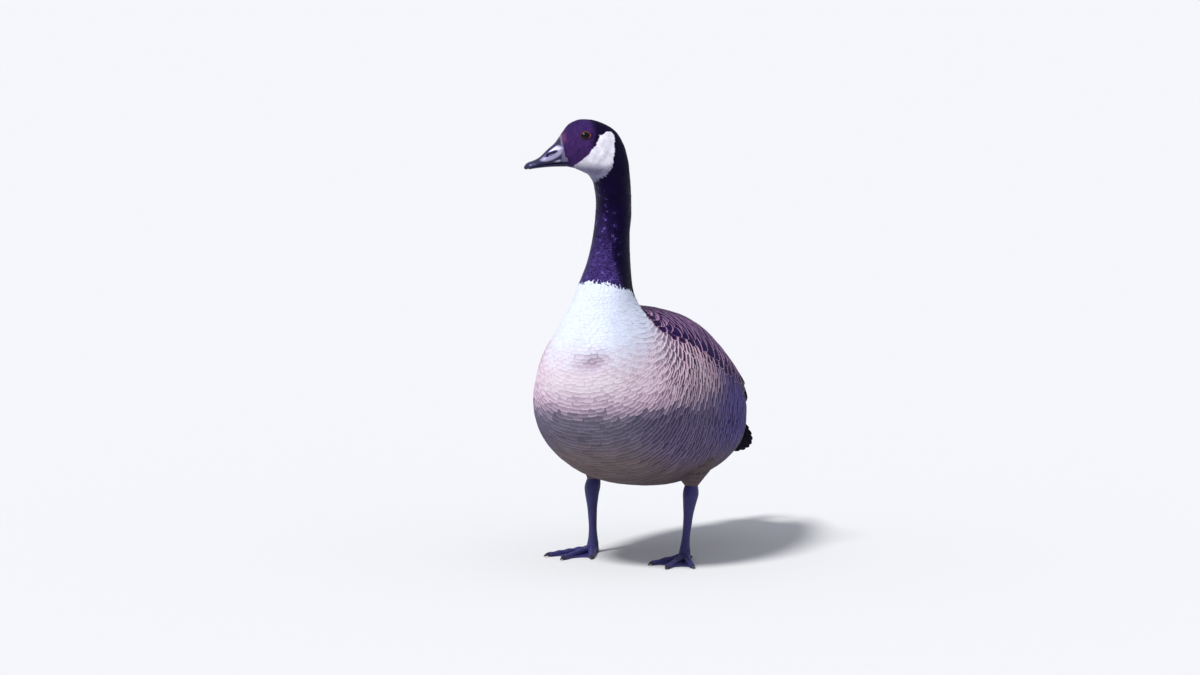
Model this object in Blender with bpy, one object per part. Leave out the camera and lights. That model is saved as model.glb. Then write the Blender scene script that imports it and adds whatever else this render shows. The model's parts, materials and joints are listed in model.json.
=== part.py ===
"""A life-size Canada goose, standing alert with its head turned to its right.

Metres, +Z up. The bird faces -Y, its left side is at +X, and it stands on Z = 0.

One form runs from the root of the tail through the breast and neck to the root of the bill.
It is a loft of closed sections, each hung between a point of the back line and a point of the
belly line, and it is parted by thin flat cuts into torso, neck and head. The wings and the tail
are cores with overlapping vanes set on them in tiers.
"""

import math

import bpy
import numpy as np
from mathutils import Vector

GAP = 0.0003
CUTTER_GROWTH = 0.0004
SEGMENTS = 24
SHARP_ANGLE = math.radians(40)
MERGE = 0.00001

# The neck rises from this line, and the head turns about it.
NECK_AXIS_Y = -0.092
HEAD_YAW = math.radians(52)
EYE_LEVEL = 0.5634
HEAD_AHEAD_OF_NECK = 0.0358

# Fullness is the exponent of a section: 2 is an ellipse, and more is squarer.
BODY_FULLNESS = 2.28
NECK_FULLNESS = 2.0
HEAD_FULLNESS = 2.15
HEAD_WIDEST = 0.56

# Back point (y, z), belly point (y, z), half width and how far down the section is widest, from
# the tail's root to the neck's foot.
BODY_STATIONS = [
    ((0.225, 0.186), (0.222, 0.127), 0.042, 0.54),
    ((0.190, 0.221), (0.185, 0.108), 0.069, 0.57),
    ((0.124, 0.271), (0.125, 0.094), 0.091, 0.59),
    ((0.054, 0.309), (0.055, 0.090), 0.103, 0.59),
    ((-0.006, 0.327), (-0.015, 0.095), 0.107, 0.57),
    ((-0.040, 0.332), (-0.083, 0.111), 0.107, 0.56),
    ((-0.059, 0.335), (-0.142, 0.141), 0.102, 0.56),
    ((-0.070, 0.338), (-0.186, 0.182), 0.088, 0.55),
    ((-0.078, 0.344), (-0.204, 0.236), 0.069, 0.52),
    ((-0.082, 0.353), (-0.193, 0.290), 0.053, 0.50),
    ((-0.083, 0.363), (-0.168, 0.335), 0.0405, 0.50),
    ((-0.082, 0.374), (-0.148, 0.372), 0.0335, 0.50),
]

# The folded wings lie on a form that goes on past the rump: these replace its first stations.
WING_STATIONS = [
    ((0.292, 0.174), (0.288, 0.128), 0.027, 0.52),
    ((0.215, 0.223), (0.210, 0.113), 0.063, 0.57),
    ((0.124, 0.273), (0.125, 0.094), 0.091, 0.59),
]

# Height, centre y, radius and share of the head's turn, up the neck.
NECK_STATIONS = [
    (0.397, -0.1050, 0.0285, 0.0),
    (0.418, -0.0990, 0.0253, 0.08),
    (0.437, -0.0945, 0.0236, 0.25),
    (0.459, -0.0890, 0.0233, 0.55),
    (0.479, -0.0887, 0.0230, 0.80),
]

# Nape or crown point, throat or chin point, each ahead of and above the eye, and half width.
HEAD_STATIONS = [
    ((-0.0596, -0.070), (-0.0124, -0.070), 0.0228),
    ((-0.0580, -0.050), (-0.0095, -0.060), 0.0232),
    ((-0.0552, -0.030), (-0.0025, -0.0508), 0.0245),
    ((-0.0494, -0.0110), (0.0045, -0.0470), 0.0255),
    ((-0.0385, 0.0055), (0.0110, -0.0440), 0.0255),
    ((-0.0215, 0.0160), (0.0165, -0.0417), 0.0242),
    ((-0.0045, 0.0208), (0.0210, -0.0405), 0.0223),
    ((0.0115, 0.0203), (0.0240, -0.0398), 0.0200),
    ((0.0230, 0.0145), (0.0262, -0.0393), 0.0178),
    ((0.0308, 0.0050), (0.0280, -0.0391), 0.0160),
    ((0.0347, -0.0004), (0.0290, -0.0389), 0.0150),
]

BODY_COUNT = len(BODY_STATIONS)
NECK_TOP = BODY_COUNT + len(NECK_STATIONS)
TORSO_END = BODY_COUNT - 1
NECK_MIDDLE = BODY_COUNT + 2.5
HEAD_START = NECK_TOP + 1
HEAD_END = NECK_TOP + len(HEAD_STATIONS) - 1

# The eye, set in a socket that its lids ring. It looks outwards and a little up and ahead.
EYE_AHEAD = 0.0047
EYE_ABOVE = 0.0008
EYE_OUT = 0.0141
EYE_RADIUS = 0.0075
EYE_TILT_UP = math.radians(19)
EYE_TILT_AHEAD = math.radians(6)
LID_RADIUS = 0.0064
LID_THICKNESS = 0.0013
LID_OUT = 0.0043

# The mouth's line goes on from the bill into the feathered cheek.
GAPE_END = (0.0240, -0.0290)
GAPE_START = (0.0330, -0.0331)
GAPE_WIDTH = 0.0007
GAPE_DEPTH = 0.0022

# Bill: ridge point and mouth point ahead of and above the eye, and half width.
UPPER_BILL = [
    ((0.0351, -0.0010), (0.0303, -0.0326), 0.0146),
    ((0.0405, -0.0082), (0.0380, -0.0331), 0.0132),
    ((0.0500, -0.0162), (0.0490, -0.0339), 0.0117),
    ((0.0615, -0.0268), (0.0610, -0.0353), 0.0106),
    ((0.0715, -0.0314), (0.0710, -0.0369), 0.0098),
    ((0.0783, -0.0344), (0.0776, -0.0393), 0.0080),
    ((0.0812, -0.0374), (0.0806, -0.0412), 0.0050),
]
LOWER_BILL = [
    ((0.0299, -0.0330), (0.0294, -0.0392), 0.0124),
    ((0.0380, -0.0335), (0.0374, -0.0390), 0.0116),
    ((0.0490, -0.0343), (0.0480, -0.0390), 0.0105),
    ((0.0610, -0.0357), (0.0600, -0.0396), 0.0093),
    ((0.0705, -0.0373), (0.0695, -0.0405), 0.0078),
    ((0.0760, -0.0396), (0.0755, -0.0414), 0.0045),
]
BILL_FULLNESS = 2.3
BILL_SEGMENTS = 16
NOSTRIL_AHEAD = 0.0500
NOSTRIL_ABOVE = -0.0235
NOSTRIL_LENGTH = 0.0110
NOSTRIL_HEIGHT = 0.0032
NOSTRIL_DEPTH = 0.0030
NOSTRIL_TILT = math.radians(27)

# Legs: the left leg's sections down the shank (x, y, z, half width, half depth).
THIGH = [
    (0.052, 0.040, 0.165, 0.034, 0.050),
    (0.058, 0.034, 0.138, 0.032, 0.044),
    (0.064, 0.022, 0.116, 0.0245, 0.029),
    (0.068, 0.011, 0.104, 0.0145, 0.0170),
    (0.070, 0.006, 0.0975, 0.0090, 0.0105),
]
SHANK = [
    (0.0700, 0.006, 0.0972, 0.0080, 0.0094),
    (0.0705, 0.003, 0.0915, 0.0095, 0.0107),
    (0.0710, 0.001, 0.0850, 0.0101, 0.0114),
    (0.0710, -0.001, 0.0780, 0.0091, 0.0103),
    (0.0705, -0.003, 0.0690, 0.0077, 0.0088),
    (0.0700, -0.0045, 0.0590, 0.0063, 0.0075),
    (0.0695, -0.006, 0.0480, 0.0056, 0.0068),
    (0.0685, -0.009, 0.0300, 0.0051, 0.0063),
    (0.0680, -0.011, 0.0180, 0.0062, 0.0070),
    (0.0680, -0.012, 0.0113, 0.0074, 0.0080),
]
LEG_SEGMENTS = 16
LEFT_FOOT = (0.0, 0.0)
RIGHT_FOOT = (0.002, 0.020)

# Feet: toe name, length from the joint, and its turn from straight ahead, outwards.
TOES = [
    ("inner", 0.060, math.radians(-27)),
    ("middle", 0.078, math.radians(0)),
    ("outer", 0.070, math.radians(25)),
    ("hind", 0.017, math.radians(170)),
]
FOOT_TURN = math.radians(6)
TOE_ROOT_RADIUS = 0.0052
TOE_TIP_RADIUS = 0.0033
TOE_SINK = 0.0009
TOE_SEGMENTS = 12
KNUCKLES = {"inner": 2, "middle": 3, "outer": 4, "hind": 1}
KNUCKLE_SWELL = 0.13
WEB_THICKNESS = 0.0016
WEB_REACH = 0.90
WEB_SAG = 0.27
HUB_TOP = 0.0110
CLAW_LENGTH = 0.0085
CLAW_RADIUS = 0.0026
CLAW_RISE = 0.0034

# Wing shell: region of the form that it covers, as shares of the half turn from back to belly.
WING_EDGE_STATIONS = [0.0, 1.0, 2.0, 3.0, 4.0, 5.0, 6.0, 7.4]
WING_UPPER_EDGE = [0.15, 0.07, 0.05, 0.055, 0.07, 0.10, 0.17, 0.34]
WING_LOWER_EDGE = [0.33, 0.47, 0.49, 0.48, 0.49, 0.51, 0.50, 0.46]
WING_THICKNESS_ACROSS = ([0.0, 0.12, 0.30, 0.60, 0.85, 1.0], [0.0008, 0.0032, 0.0052, 0.0052, 0.0034, 0.0008])
WING_THICKNESS_ALONG = ([0.0, 1.2, 3.5, 5.2, 6.2, 7.4], [0.30, 0.62, 1.0, 0.85, 0.40, 0.06])
WING_ROWS = 15
WING_COLUMNS = 8
WING_REAR_BACKING = 0.0012
WING_FRONT_BACKING = 0.0060

# A vane: shares of its length with its width there, how far its lower edge is raised over the
# next vane, and how deep its keel reaches at the root and at the tip.
VANE_PROFILE = ((0.0, 0.70), (0.32, 0.95), (0.68, 1.0), (0.90, 0.80), (1.0, 0.36))
VANE_LAP = 0.0008
VANE_CROWN = 0.0004
VANE_KEEL = (0.0026, 0.0010)
VANE_ROOT_SINK = 0.0016

# Vane tiers of a wing: how many, root (station, place across) of the first and last vane, tip of
# the first and last vane, half width, and how far the tier stands off the shell.
WING_TIERS = (
    (4, (1.75, 0.20), (1.45, 0.66), (-0.14, 0.20), (0.30, 0.84), 0.0092, 0.0002),
    (6, (3.10, 0.46), (3.50, 0.92), (1.00, 0.56), (1.95, 0.95), 0.0100, 0.0004),
    (3, (2.60, 0.13), (2.40, 0.44), (0.48, 0.13), (0.85, 0.48), 0.0130, 0.0013),
    (6, (5.10, 0.46), (5.60, 0.92), (2.70, 0.48), (3.30, 0.94), 0.0105, 0.0012),
    (3, (3.75, 0.14), (3.85, 0.50), (2.05, 0.12), (2.30, 0.46), 0.0145, 0.0020),
    (3, (4.90, 0.17), (5.20, 0.52), (3.30, 0.14), (3.50, 0.48), 0.0140, 0.0027),
)

# Tail: a core under the coverts, and a rounded fan of vanes whose middle pair lies on top.
TAIL_CORE = [
    ((0.225, 0.186), (0.222, 0.127), 0.042, 0.54),
    ((0.2400, 0.1680), (0.2330, 0.1215), 0.0410, 0.52),
    ((0.2560, 0.1430), (0.2480, 0.1175), 0.0375, 0.52),
    ((0.2720, 0.1215), (0.2670, 0.1130), 0.0300, 0.52),
]
TAIL_VANES = 12
TAIL_SPREAD = math.radians(30)
TAIL_DROOP = math.radians(47)
TAIL_ROOT = (0.0, 0.204, 0.190)
TAIL_ROOT_SPREAD = 0.0124
TAIL_ROOT_REACH = 0.047
TAIL_MIDDLE_LENGTH = 0.126
TAIL_OUTER_LENGTH = 0.076
TAIL_HALF_WIDTH = 0.0084
TAIL_ARCH = -0.0019
TAIL_STEP = 0.0007

PLUMAGE_BROWN = (0.17, 0.115, 0.11, 1)
PLUMAGE_PALE = (0.62, 0.54, 0.53, 1)
NECK_BLACK = (0.012, 0.008, 0.022, 1)
HEAD_BLACK = (0.025, 0.014, 0.030, 1)
BILL_BLACK = (0.030, 0.026, 0.055, 1)
EYE_BROWN = (0.012, 0.007, 0.006, 1)
LEG_DARK = (0.035, 0.027, 0.070, 1)
CLAW_DARK = (0.02, 0.016, 0.025, 1)


def clear_scene():
    """Remove every object of the open scene."""
    for old in list(bpy.data.objects):
        bpy.data.objects.remove(old, do_unlink=True)


def make_material(name, color, roughness):
    """A plain Principled material."""
    made = bpy.data.materials.new(name)
    made.use_nodes = True
    shader = made.node_tree.nodes["Principled BSDF"]
    shader.inputs["Base Color"].default_value = color
    shader.inputs["Roughness"].default_value = roughness
    shader.inputs["Metallic"].default_value = 0.0
    return made


def make_collection(name):
    """A new collection under the scene's own."""
    made = bpy.data.collections.new(name)
    bpy.context.scene.collection.children.link(made)
    return made


def mesh_object(name, points, faces, collection, material=None):
    """An object from points and faces, shaded smooth with its sharp edges marked."""
    mesh = bpy.data.meshes.new(name)
    mesh.from_pydata([tuple(p) for p in points], [], faces)
    mesh.validate()
    mesh.shade_smooth()
    mesh.set_sharp_from_angle(angle=SHARP_ANGLE)
    if material:
        mesh.materials.append(material)
    made = bpy.data.objects.new(name, mesh)
    collection.objects.link(made)
    return made


def skin_rings(rings):
    """Points and outward faces of the closed loft through equal rings of points."""
    rings = [np.asarray(ring, float) for ring in rings]
    count = len(rings[0])
    faces = []
    for i in range(len(rings) - 1):
        for j in range(count):
            k = (j + 1) % count
            low, high = i * count, (i + 1) * count
            if 2 * j < count:
                faces += [(low + j, low + k, high + k), (low + j, high + k, high + j)]
            else:
                faces += [(low + j, low + k, high + j), (low + k, high + k, high + j)]
    faces.append(tuple(reversed(range(count))))
    faces.append(tuple(range((len(rings) - 1) * count, len(rings) * count)))
    points = np.vstack(rings)
    if signed_volume(points, faces) < 0:
        faces = [tuple(reversed(face)) for face in faces]
    return points, faces


def signed_volume(points, faces):
    """Six times the volume inside the faces, negative where they point inwards."""
    total = 0.0
    for face in faces:
        first = points[face[0]]
        for a, b in zip(face[1:-1], face[2:]):
            total += float(np.dot(first, np.cross(points[a], points[b])))
    return total


def forward_of(yaw):
    """Unit vector that a part turned to the bird's right by yaw faces."""
    return np.array([-math.sin(yaw), -math.cos(yaw), 0.0])


def left_of(yaw):
    """Unit vector to the left of a part turned to the bird's right by yaw."""
    return np.array([math.cos(yaw), -math.sin(yaw), 0.0])


def head_point(ahead, above, left=0.0):
    """World point of a place given ahead of, above and left of the eye line on the head's plane."""
    reach = ahead + HEAD_AHEAD_OF_NECK
    point = np.array([0.0, NECK_AXIS_Y, EYE_LEVEL + above])
    return point + forward_of(HEAD_YAW) * reach + left_of(HEAD_YAW) * left


class Form:
    """A loft of sections that is read at any place along its stations."""

    def __init__(self, stations):
        """Each station is (back point, belly point, half width, widest, fullness, yaw)."""
        self.rows = np.array(
            [[*back, *belly, half, widest, full, yaw] for back, belly, half, widest, full, yaw in stations]
        )
        middle = (self.rows[:, 0:3] + self.rows[:, 3:6]) / 2
        steps = np.linalg.norm(np.diff(middle, axis=0), axis=1)
        ends = np.linalg.norm(np.diff(self.rows[:, 3:6], axis=0), axis=1)
        self.steps = (steps + ends) / 2
        slopes = np.diff(self.rows, axis=0) / self.steps[:, None]
        tangents = np.empty_like(self.rows)
        tangents[0], tangents[-1] = slopes[0], slopes[-1]
        before, after = self.steps[:-1, None], self.steps[1:, None]
        tangents[1:-1] = (slopes[:-1] * after + slopes[1:] * before) / (before + after)
        self.tangents = tangents

    def row(self, place):
        """The station's values at a place, going straight on past the ends."""
        last = len(self.rows) - 1
        i = min(max(int(math.floor(place)), 0), last - 1)
        t, h = place - i, self.steps[i]
        a, b = self.rows[i], self.rows[i + 1]
        if t < 0:
            return a + self.tangents[i] * h * t
        square, cube = t * t, t * t * t
        return (
            (2 * cube - 3 * square + 1) * a
            + (cube - 2 * square + t) * h * self.tangents[i]
            + (3 * square - 2 * cube) * b
            + (cube - square) * h * self.tangents[i + 1]
        )

    def point(self, place, turn, grow=0.0):
        """A surface point: turn is 0 at the back, half a turn at the belly, left side positive."""
        row = self.row(place)
        back, belly = row[0:3], row[3:6]
        half, widest, full, yaw = row[6:10]
        chord = belly - back
        length = np.linalg.norm(chord)
        down = chord / length
        middle = back + chord * widest
        rise = length * widest if math.cos(turn) > 0 else length * (1 - widest)
        up = (rise + grow) * math.copysign(abs(math.cos(turn)) ** (2 / full), math.cos(turn))
        out = (half + grow) * math.copysign(abs(math.sin(turn)) ** (2 / full), math.sin(turn))
        return middle - down * up + left_of(yaw) * out

    def normal(self, place, turn):
        """The outward unit normal at a surface point."""
        step = 0.02
        along = self.point(place + step, turn) - self.point(place - step, turn)
        around = self.point(place, turn + step) - self.point(place, turn - step)
        found = np.cross(along, around)
        row = self.row(place)
        outward = self.point(place, turn) - (row[0:3] + row[3:6]) / 2
        found = found / np.linalg.norm(found)
        return found if np.dot(found, outward) > 0 else -found

    def ring(self, place, grow=0.0):
        """One closed section."""
        return np.array([self.point(place, 2 * math.pi * j / SEGMENTS, grow) for j in range(SEGMENTS)])

    def way(self, place):
        """Unit normal of a section's plane, towards the head."""
        row = self.row(place)
        across = np.cross(row[0:3] - row[3:6], left_of(row[9]))
        across = across / np.linalg.norm(across)
        ahead = self.row(place + 0.1)[3:6] - self.row(place - 0.1)[3:6]
        return across if np.dot(across, ahead) > 0 else -across


def body_station(back, belly, half, widest):
    """A station of the torso, in the bird's own plane."""
    return ((0, *back), (0, *belly), half, widest, BODY_FULLNESS, 0.0)


def neck_station(height, centre, radius, share):
    """A level, round station of the neck, turned by a share of the head's yaw."""
    yaw = HEAD_YAW * share
    middle = np.array([0.0, centre, height])
    back, front = middle - forward_of(yaw) * radius, middle + forward_of(yaw) * radius
    return (back, front, radius, 0.5, NECK_FULLNESS, yaw)


def head_station(crown, chin, half):
    """A station of the head, in the head's own plane."""
    return (head_point(*crown), head_point(*chin), half, HEAD_WIDEST, HEAD_FULLNESS, HEAD_YAW)


def bird_form():
    """The whole form from the tail's root to the bill's root."""
    rows = [body_station(*row) for row in BODY_STATIONS]
    rows += [neck_station(*row) for row in NECK_STATIONS]
    rows += [head_station(*row) for row in HEAD_STATIONS]
    return Form(rows)


def wing_form():
    """The form that the folded wings lie on."""
    rows = WING_STATIONS + BODY_STATIONS[len(WING_STATIONS):]
    return Form([body_station(*row) for row in rows])


def form_length(name, form, start, end, count, collection, material, gaps=(True, True), grow=0.0):
    """A length of the form as a closed solid, drawn back from each parting cut by half the gap."""
    places = np.linspace(start, end, count)
    rings = [form.ring(place, grow) for place in places]
    if gaps[0]:
        rings[0] = rings[0] + form.way(start) * GAP / 2
    if gaps[1]:
        rings[-1] = rings[-1] - form.way(end) * GAP / 2
    return mesh_object(name, *skin_rings(rings), collection, material)


def level_rings(rows, segments, side):
    """Level ellipses down a leg, from rows of (x, y, z, half width, half depth)."""
    rings = []
    for x, y, z, half, depth in rows:
        turns = [2 * math.pi * j / segments for j in range(segments)]
        rings.append([(side * x + half * math.cos(a), y + depth * math.sin(a), z) for a in turns])
    return rings


def apply_boolean(target, operation, solver="MANIFOLD", cutter=None, group=None):
    """Apply one Boolean to target with an object or a collection, and keep its largest piece."""
    modifier = target.modifiers.new("join", "BOOLEAN")
    modifier.operation = operation
    modifier.solver = solver
    if group:
        modifier.operand_type = "COLLECTION"
        modifier.collection = group
    else:
        modifier.object = cutter
    bpy.context.view_layer.update()
    graph = bpy.context.evaluated_depsgraph_get()
    result = bpy.data.meshes.new_from_object(target.evaluated_get(graph))
    target.modifiers.clear()
    old = target.data
    target.data = result
    bpy.data.meshes.remove(old)
    keep_largest(target)
    if group:
        for piece in list(group.objects):
            bpy.data.objects.remove(piece, do_unlink=True)
        bpy.data.collections.remove(group)
    return target


def keep_largest(target):
    """Drop every closed surface of the mesh but the one with the largest volume."""
    mesh = target.data
    parent = list(range(len(mesh.vertices)))

    def root(i):
        while parent[i] != i:
            parent[i] = parent[parent[i]]
            i = parent[i]
        return i

    for edge in mesh.edges:
        a, b = (root(v) for v in edge.vertices)
        parent[a] = b
    points = np.array([v.co for v in mesh.vertices], float)
    shells = {}
    for polygon in mesh.polygons:
        shells.setdefault(root(polygon.vertices[0]), []).append(tuple(polygon.vertices))
    largest = max(shells.values(), key=lambda faces: signed_volume(points, faces))
    used = sorted({v for face in largest for v in face})
    place = {v: i for i, v in enumerate(used)}
    faces = [tuple(place[v] for v in face) for face in largest]
    kept = bpy.data.meshes.new(mesh.name)
    kept.from_pydata([tuple(points[v]) for v in used], [], faces)
    kept.shade_smooth()
    kept.set_sharp_from_angle(angle=SHARP_ANGLE)
    for material in mesh.materials:
        kept.materials.append(material)
    target.data = kept
    bpy.data.meshes.remove(mesh)


def remove(obj):
    """Take an object out of the file."""
    bpy.data.objects.remove(obj, do_unlink=True)


class Wing:
    """The folded left wing, mirrored for the right one."""

    def __init__(self, form):
        """Take the form that the wing lies on."""
        self.form = form

    def turn(self, place, across):
        """Turn about the body of a point across the wing, 0 at its upper edge and 1 at its lower."""
        upper = np.interp(place, WING_EDGE_STATIONS, WING_UPPER_EDGE)
        lower = np.interp(place, WING_EDGE_STATIONS, WING_LOWER_EDGE)
        return math.pi * (upper + (lower - upper) * across)

    def height(self, place, across):
        """How far the shell stands off the form."""
        return np.interp(across, *WING_THICKNESS_ACROSS) * np.interp(place, *WING_THICKNESS_ALONG)

    def point(self, place, across, off):
        """A point at a distance off the shell's outer face."""
        turn = self.turn(place, across)
        normal = self.form.normal(max(place, 0.03), turn)
        return self.form.point(place, turn) + normal * (self.height(place, across) + off)

    def shell(self, name, side, collection, material):
        """The closed shell that the vanes are set on."""
        places = np.linspace(WING_EDGE_STATIONS[0], WING_EDGE_STATIONS[-1], WING_ROWS)
        rings = []
        for place in places:
            backing = np.interp(place, [0.0, 1.0, 1.8], [WING_REAR_BACKING, 0.002, WING_FRONT_BACKING])
            shares = np.linspace(0, 1, WING_COLUMNS)
            outer = [self.point(place, a, 0.0) for a in shares]
            inner = [self.point(place, a, -self.height(place, a) - backing) for a in reversed(shares)]
            rings.append(mirror_points(outer + inner, side))
        return mesh_object(name, *skin_rings(rings), collection, material)


    def vane(self, name, root, tip, half, off, side, collection):
        """One vane from root to tip, each a (station, across) place, its lower edge over the next."""
        rings = []
        for share, width in VANE_PROFILE:
            place, across = np.array(root) + (np.array(tip) - np.array(root)) * share
            sink = (off + VANE_ROOT_SINK) * max(0.0, 1 - share / 0.30)
            middle = self.point(place, across, off - sink)
            onward = self.point(place - 0.05, across, off - sink) - middle
            normal = self.form.normal(max(place, 0.03), self.turn(place, across))
            lateral = np.cross(normal, onward / np.linalg.norm(onward))
            section = vane_section(middle, -lateral, normal, half * width, share)
            rings.append(mirror_points(section, side))
        return mesh_object(name, *skin_rings(rings), collection)

    def tier(self, spec, side, collection):
        """A row of vanes from the first to the last place of its spec."""
        count, first_root, last_root, first_tip, last_tip, half, off = spec
        for i in range(count):
            share = i / (count - 1)
            root = np.array(first_root) * (1 - share) + np.array(last_root) * share
            tip = np.array(first_tip) * (1 - share) + np.array(last_tip) * share
            self.vane(f"vane_{i}", root, tip, half, off + 0.0003 * (i % 2), side, collection)


def vane_section(middle, lateral, normal, edge, share):
    """Four points round a vane: raised edge, crown, sunk edge and keel."""
    keel = VANE_KEEL[0] + (VANE_KEEL[1] - VANE_KEEL[0]) * share
    return [
        middle + lateral * edge + normal * VANE_LAP,
        middle + normal * VANE_CROWN,
        middle - lateral * edge - normal * VANE_LAP,
        middle - normal * keel,
    ]


def mirror_points(points, side):
    """Points with x turned over for the right side."""
    return [(side * p[0], p[1], p[2]) for p in points]


def build_trunk(form, flesh, materials):
    """Torso, two lengths of neck and the head, before their sockets are cut."""
    torso = form_length("torso", form, 0, TORSO_END, 25, flesh, materials["pale"])
    form_length("neck_lower", form, TORSO_END, NECK_MIDDLE, 7, flesh, materials["neck"])
    form_length("neck_upper", form, NECK_MIDDLE, HEAD_START, 8, flesh, materials["neck"])
    head = form_length("head", form, HEAD_START, HEAD_END, 15, flesh, materials["head"])
    return torso, head


def eye_centre(side):
    """Centre of an eye, left for side 1 and right for side -1."""
    return head_point(EYE_AHEAD, EYE_ABOVE, side * EYE_OUT)


def eye_axis(side):
    """Unit vector that an eye looks along."""
    level = math.cos(EYE_TILT_UP)
    outward = left_of(HEAD_YAW) * side * math.cos(EYE_TILT_AHEAD) + forward_of(HEAD_YAW) * math.sin(EYE_TILT_AHEAD)
    return outward * level + np.array([0, 0, math.sin(EYE_TILT_UP)])


def build_eyes(head, flesh, materials):
    """Lids fused to the head, sockets cut in it, and the eyeballs in them."""
    lids = make_collection("lids")
    for side, word in ((1, "left"), (-1, "right")):
        bpy.ops.mesh.primitive_torus_add(
            major_radius=LID_RADIUS,
            minor_radius=LID_THICKNESS,
            major_segments=18,
            minor_segments=6,
            location=tuple(eye_centre(side) + eye_axis(side) * LID_OUT),
            rotation=Vector(eye_axis(side)).to_track_quat("Z", "Y").to_euler(),
        )
        move_to(bpy.context.object, "lid_" + word, lids)
    apply_boolean(head, "UNION", group=lids)
    for side, word in ((1, "left"), (-1, "right")):
        socket = add_ball("socket_" + word, side, EYE_RADIUS + GAP, flesh)
        apply_boolean(head, "DIFFERENCE", cutter=socket)
        remove(socket)
        eye = add_ball("eye_" + word, side, EYE_RADIUS, flesh)
        eye.data.materials.append(materials["eye"])


def cut_gape(head, form, collection):
    """A narrow slit in each cheek that ends the line of the mouth."""
    start, end = np.array(GAPE_START), np.array(GAPE_END)
    for side in (1, -1):
        rings = []
        for share in (0.0, 0.5, 0.9):
            ahead, above = start + (end - start) * share
            out = cheek_width(form, ahead, above)
            half = GAPE_WIDTH * (1 - 0.5 * share)
            rings.append(
                [
                    head_point(ahead, above, side * (out - GAPE_DEPTH)),
                    head_point(ahead, above - half, side * (out + 0.003)),
                    head_point(ahead, above + half, side * (out + 0.003)),
                ]
            )
        slit = mesh_object("slit", *skin_rings(rings), collection)
        apply_boolean(head, "DIFFERENCE", cutter=slit)
        remove(slit)


def cheek_width(form, ahead, above):
    """Half width of the head at a point on its plane, by halving."""
    place, turn = HEAD_END, math.pi * 0.7
    target = head_point(ahead, above)
    for _ in range(12):
        found = form.point(place, turn)
        across = left_of(HEAD_YAW)
        miss = target - found
        along = form.row(place)[3:6] - form.row(place - 1)[3:6]
        down = form.row(place)[3:6] - form.row(place)[0:3]
        place += float(np.dot(miss, forward_of(HEAD_YAW))) / np.linalg.norm(along) * 0.8
        turn += float(np.dot(miss, down)) / np.dot(down, down) * 1.6
    return abs(float(np.dot(form.point(place, turn) - head_point(0, 0), across)))


def add_ball(name, side, radius, collection):
    """A ball at an eye's centre whose pole points along its axis."""
    bpy.ops.mesh.primitive_uv_sphere_add(
        segments=16,
        ring_count=10,
        radius=radius,
        location=tuple(eye_centre(side)),
        rotation=Vector(eye_axis(side)).to_track_quat("Z", "Y").to_euler(),
    )
    ball = bpy.context.object
    ball.data.shade_smooth()
    move_to(ball, name, collection)
    return ball


def move_to(obj, name, collection):
    """Name an object, keep its place in its mesh and not its matrix, and keep it in one collection."""
    obj.name = name
    bpy.context.view_layer.update()
    obj.data.transform(obj.matrix_world)
    obj.matrix_world.identity()
    for old in list(obj.users_collection):
        old.objects.unlink(obj)
    collection.objects.link(obj)


def bill_rings(rows):
    """Sections of one half of the bill."""
    form = Form(
        [(head_point(*ridge), head_point(*mouth), half, 0.62, BILL_FULLNESS, HEAD_YAW) for ridge, mouth, half in rows]
    )
    places = np.linspace(0, len(rows) - 1, 2 * len(rows) - 2)
    turns = [2 * math.pi * j / BILL_SEGMENTS for j in range(BILL_SEGMENTS)]
    return [[form.point(place, turn) for turn in turns] for place in places]


def build_bill(flesh, materials):
    """The two halves of the bill, with a nostril sunk in each side of the upper one."""
    upper = mesh_object("bill_upper", *skin_rings(bill_rings(UPPER_BILL)), flesh, materials["bill"])
    mesh_object("bill_lower", *skin_rings(bill_rings(LOWER_BILL)), flesh, materials["bill"])
    for side in (1, -1):
        centre = head_point(NOSTRIL_AHEAD, NOSTRIL_ABOVE, side * 0.0112)
        cutter = nostril_cutter(centre, flesh)
        apply_boolean(upper, "DIFFERENCE", cutter=cutter)
        remove(cutter)


def nostril_cutter(centre, collection):
    """A slot with round ends that lies along the bill."""
    ahead = forward_of(HEAD_YAW) * math.cos(NOSTRIL_TILT)
    ahead = ahead - np.array([0, 0, math.sin(NOSTRIL_TILT)])
    out = left_of(HEAD_YAW)
    up = np.cross(out, ahead)
    rings = []
    for depth in (-NOSTRIL_DEPTH, NOSTRIL_DEPTH):
        ring = []
        for j in range(12):
            turn = 2 * math.pi * j / 12
            along, above = math.cos(turn) * NOSTRIL_LENGTH / 2, math.sin(turn) * NOSTRIL_HEIGHT / 2
            ring.append(centre + ahead * along + up * above + out * depth)
        rings.append(ring)
    return mesh_object("nostril", *skin_rings(rings), collection)


def build_wings(flesh, torso_cutter, materials):
    """Both folded wings, cut to lie on the torso."""
    wing = Wing(wing_form())
    for side, word in ((1, "left"), (-1, "right")):
        shell = wing.shell("wing_" + word, side, flesh, materials["brown"])
        vanes = make_collection("vanes")
        for spec in WING_TIERS:
            wing.tier(spec, side, vanes)
        apply_boolean(shell, "UNION", group=vanes)
        apply_boolean(shell, "DIFFERENCE", cutter=torso_cutter)


def build_tail(flesh, materials):
    """The tail: a core that meets the torso, and its fan of vanes."""
    form = Form([body_station(*row) for row in TAIL_CORE])
    rings = [form.ring(place) for place in np.linspace(0, len(TAIL_CORE) - 1, 6)]
    rings[0] = rings[0] + form.way(0) * GAP
    tail = mesh_object("tail", *skin_rings(rings), flesh, materials["neck"])
    vanes = make_collection("tail_vanes")
    for i in range(TAIL_VANES):
        tail_vane(i, vanes)
    apply_boolean(tail, "UNION", group=vanes)


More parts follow.
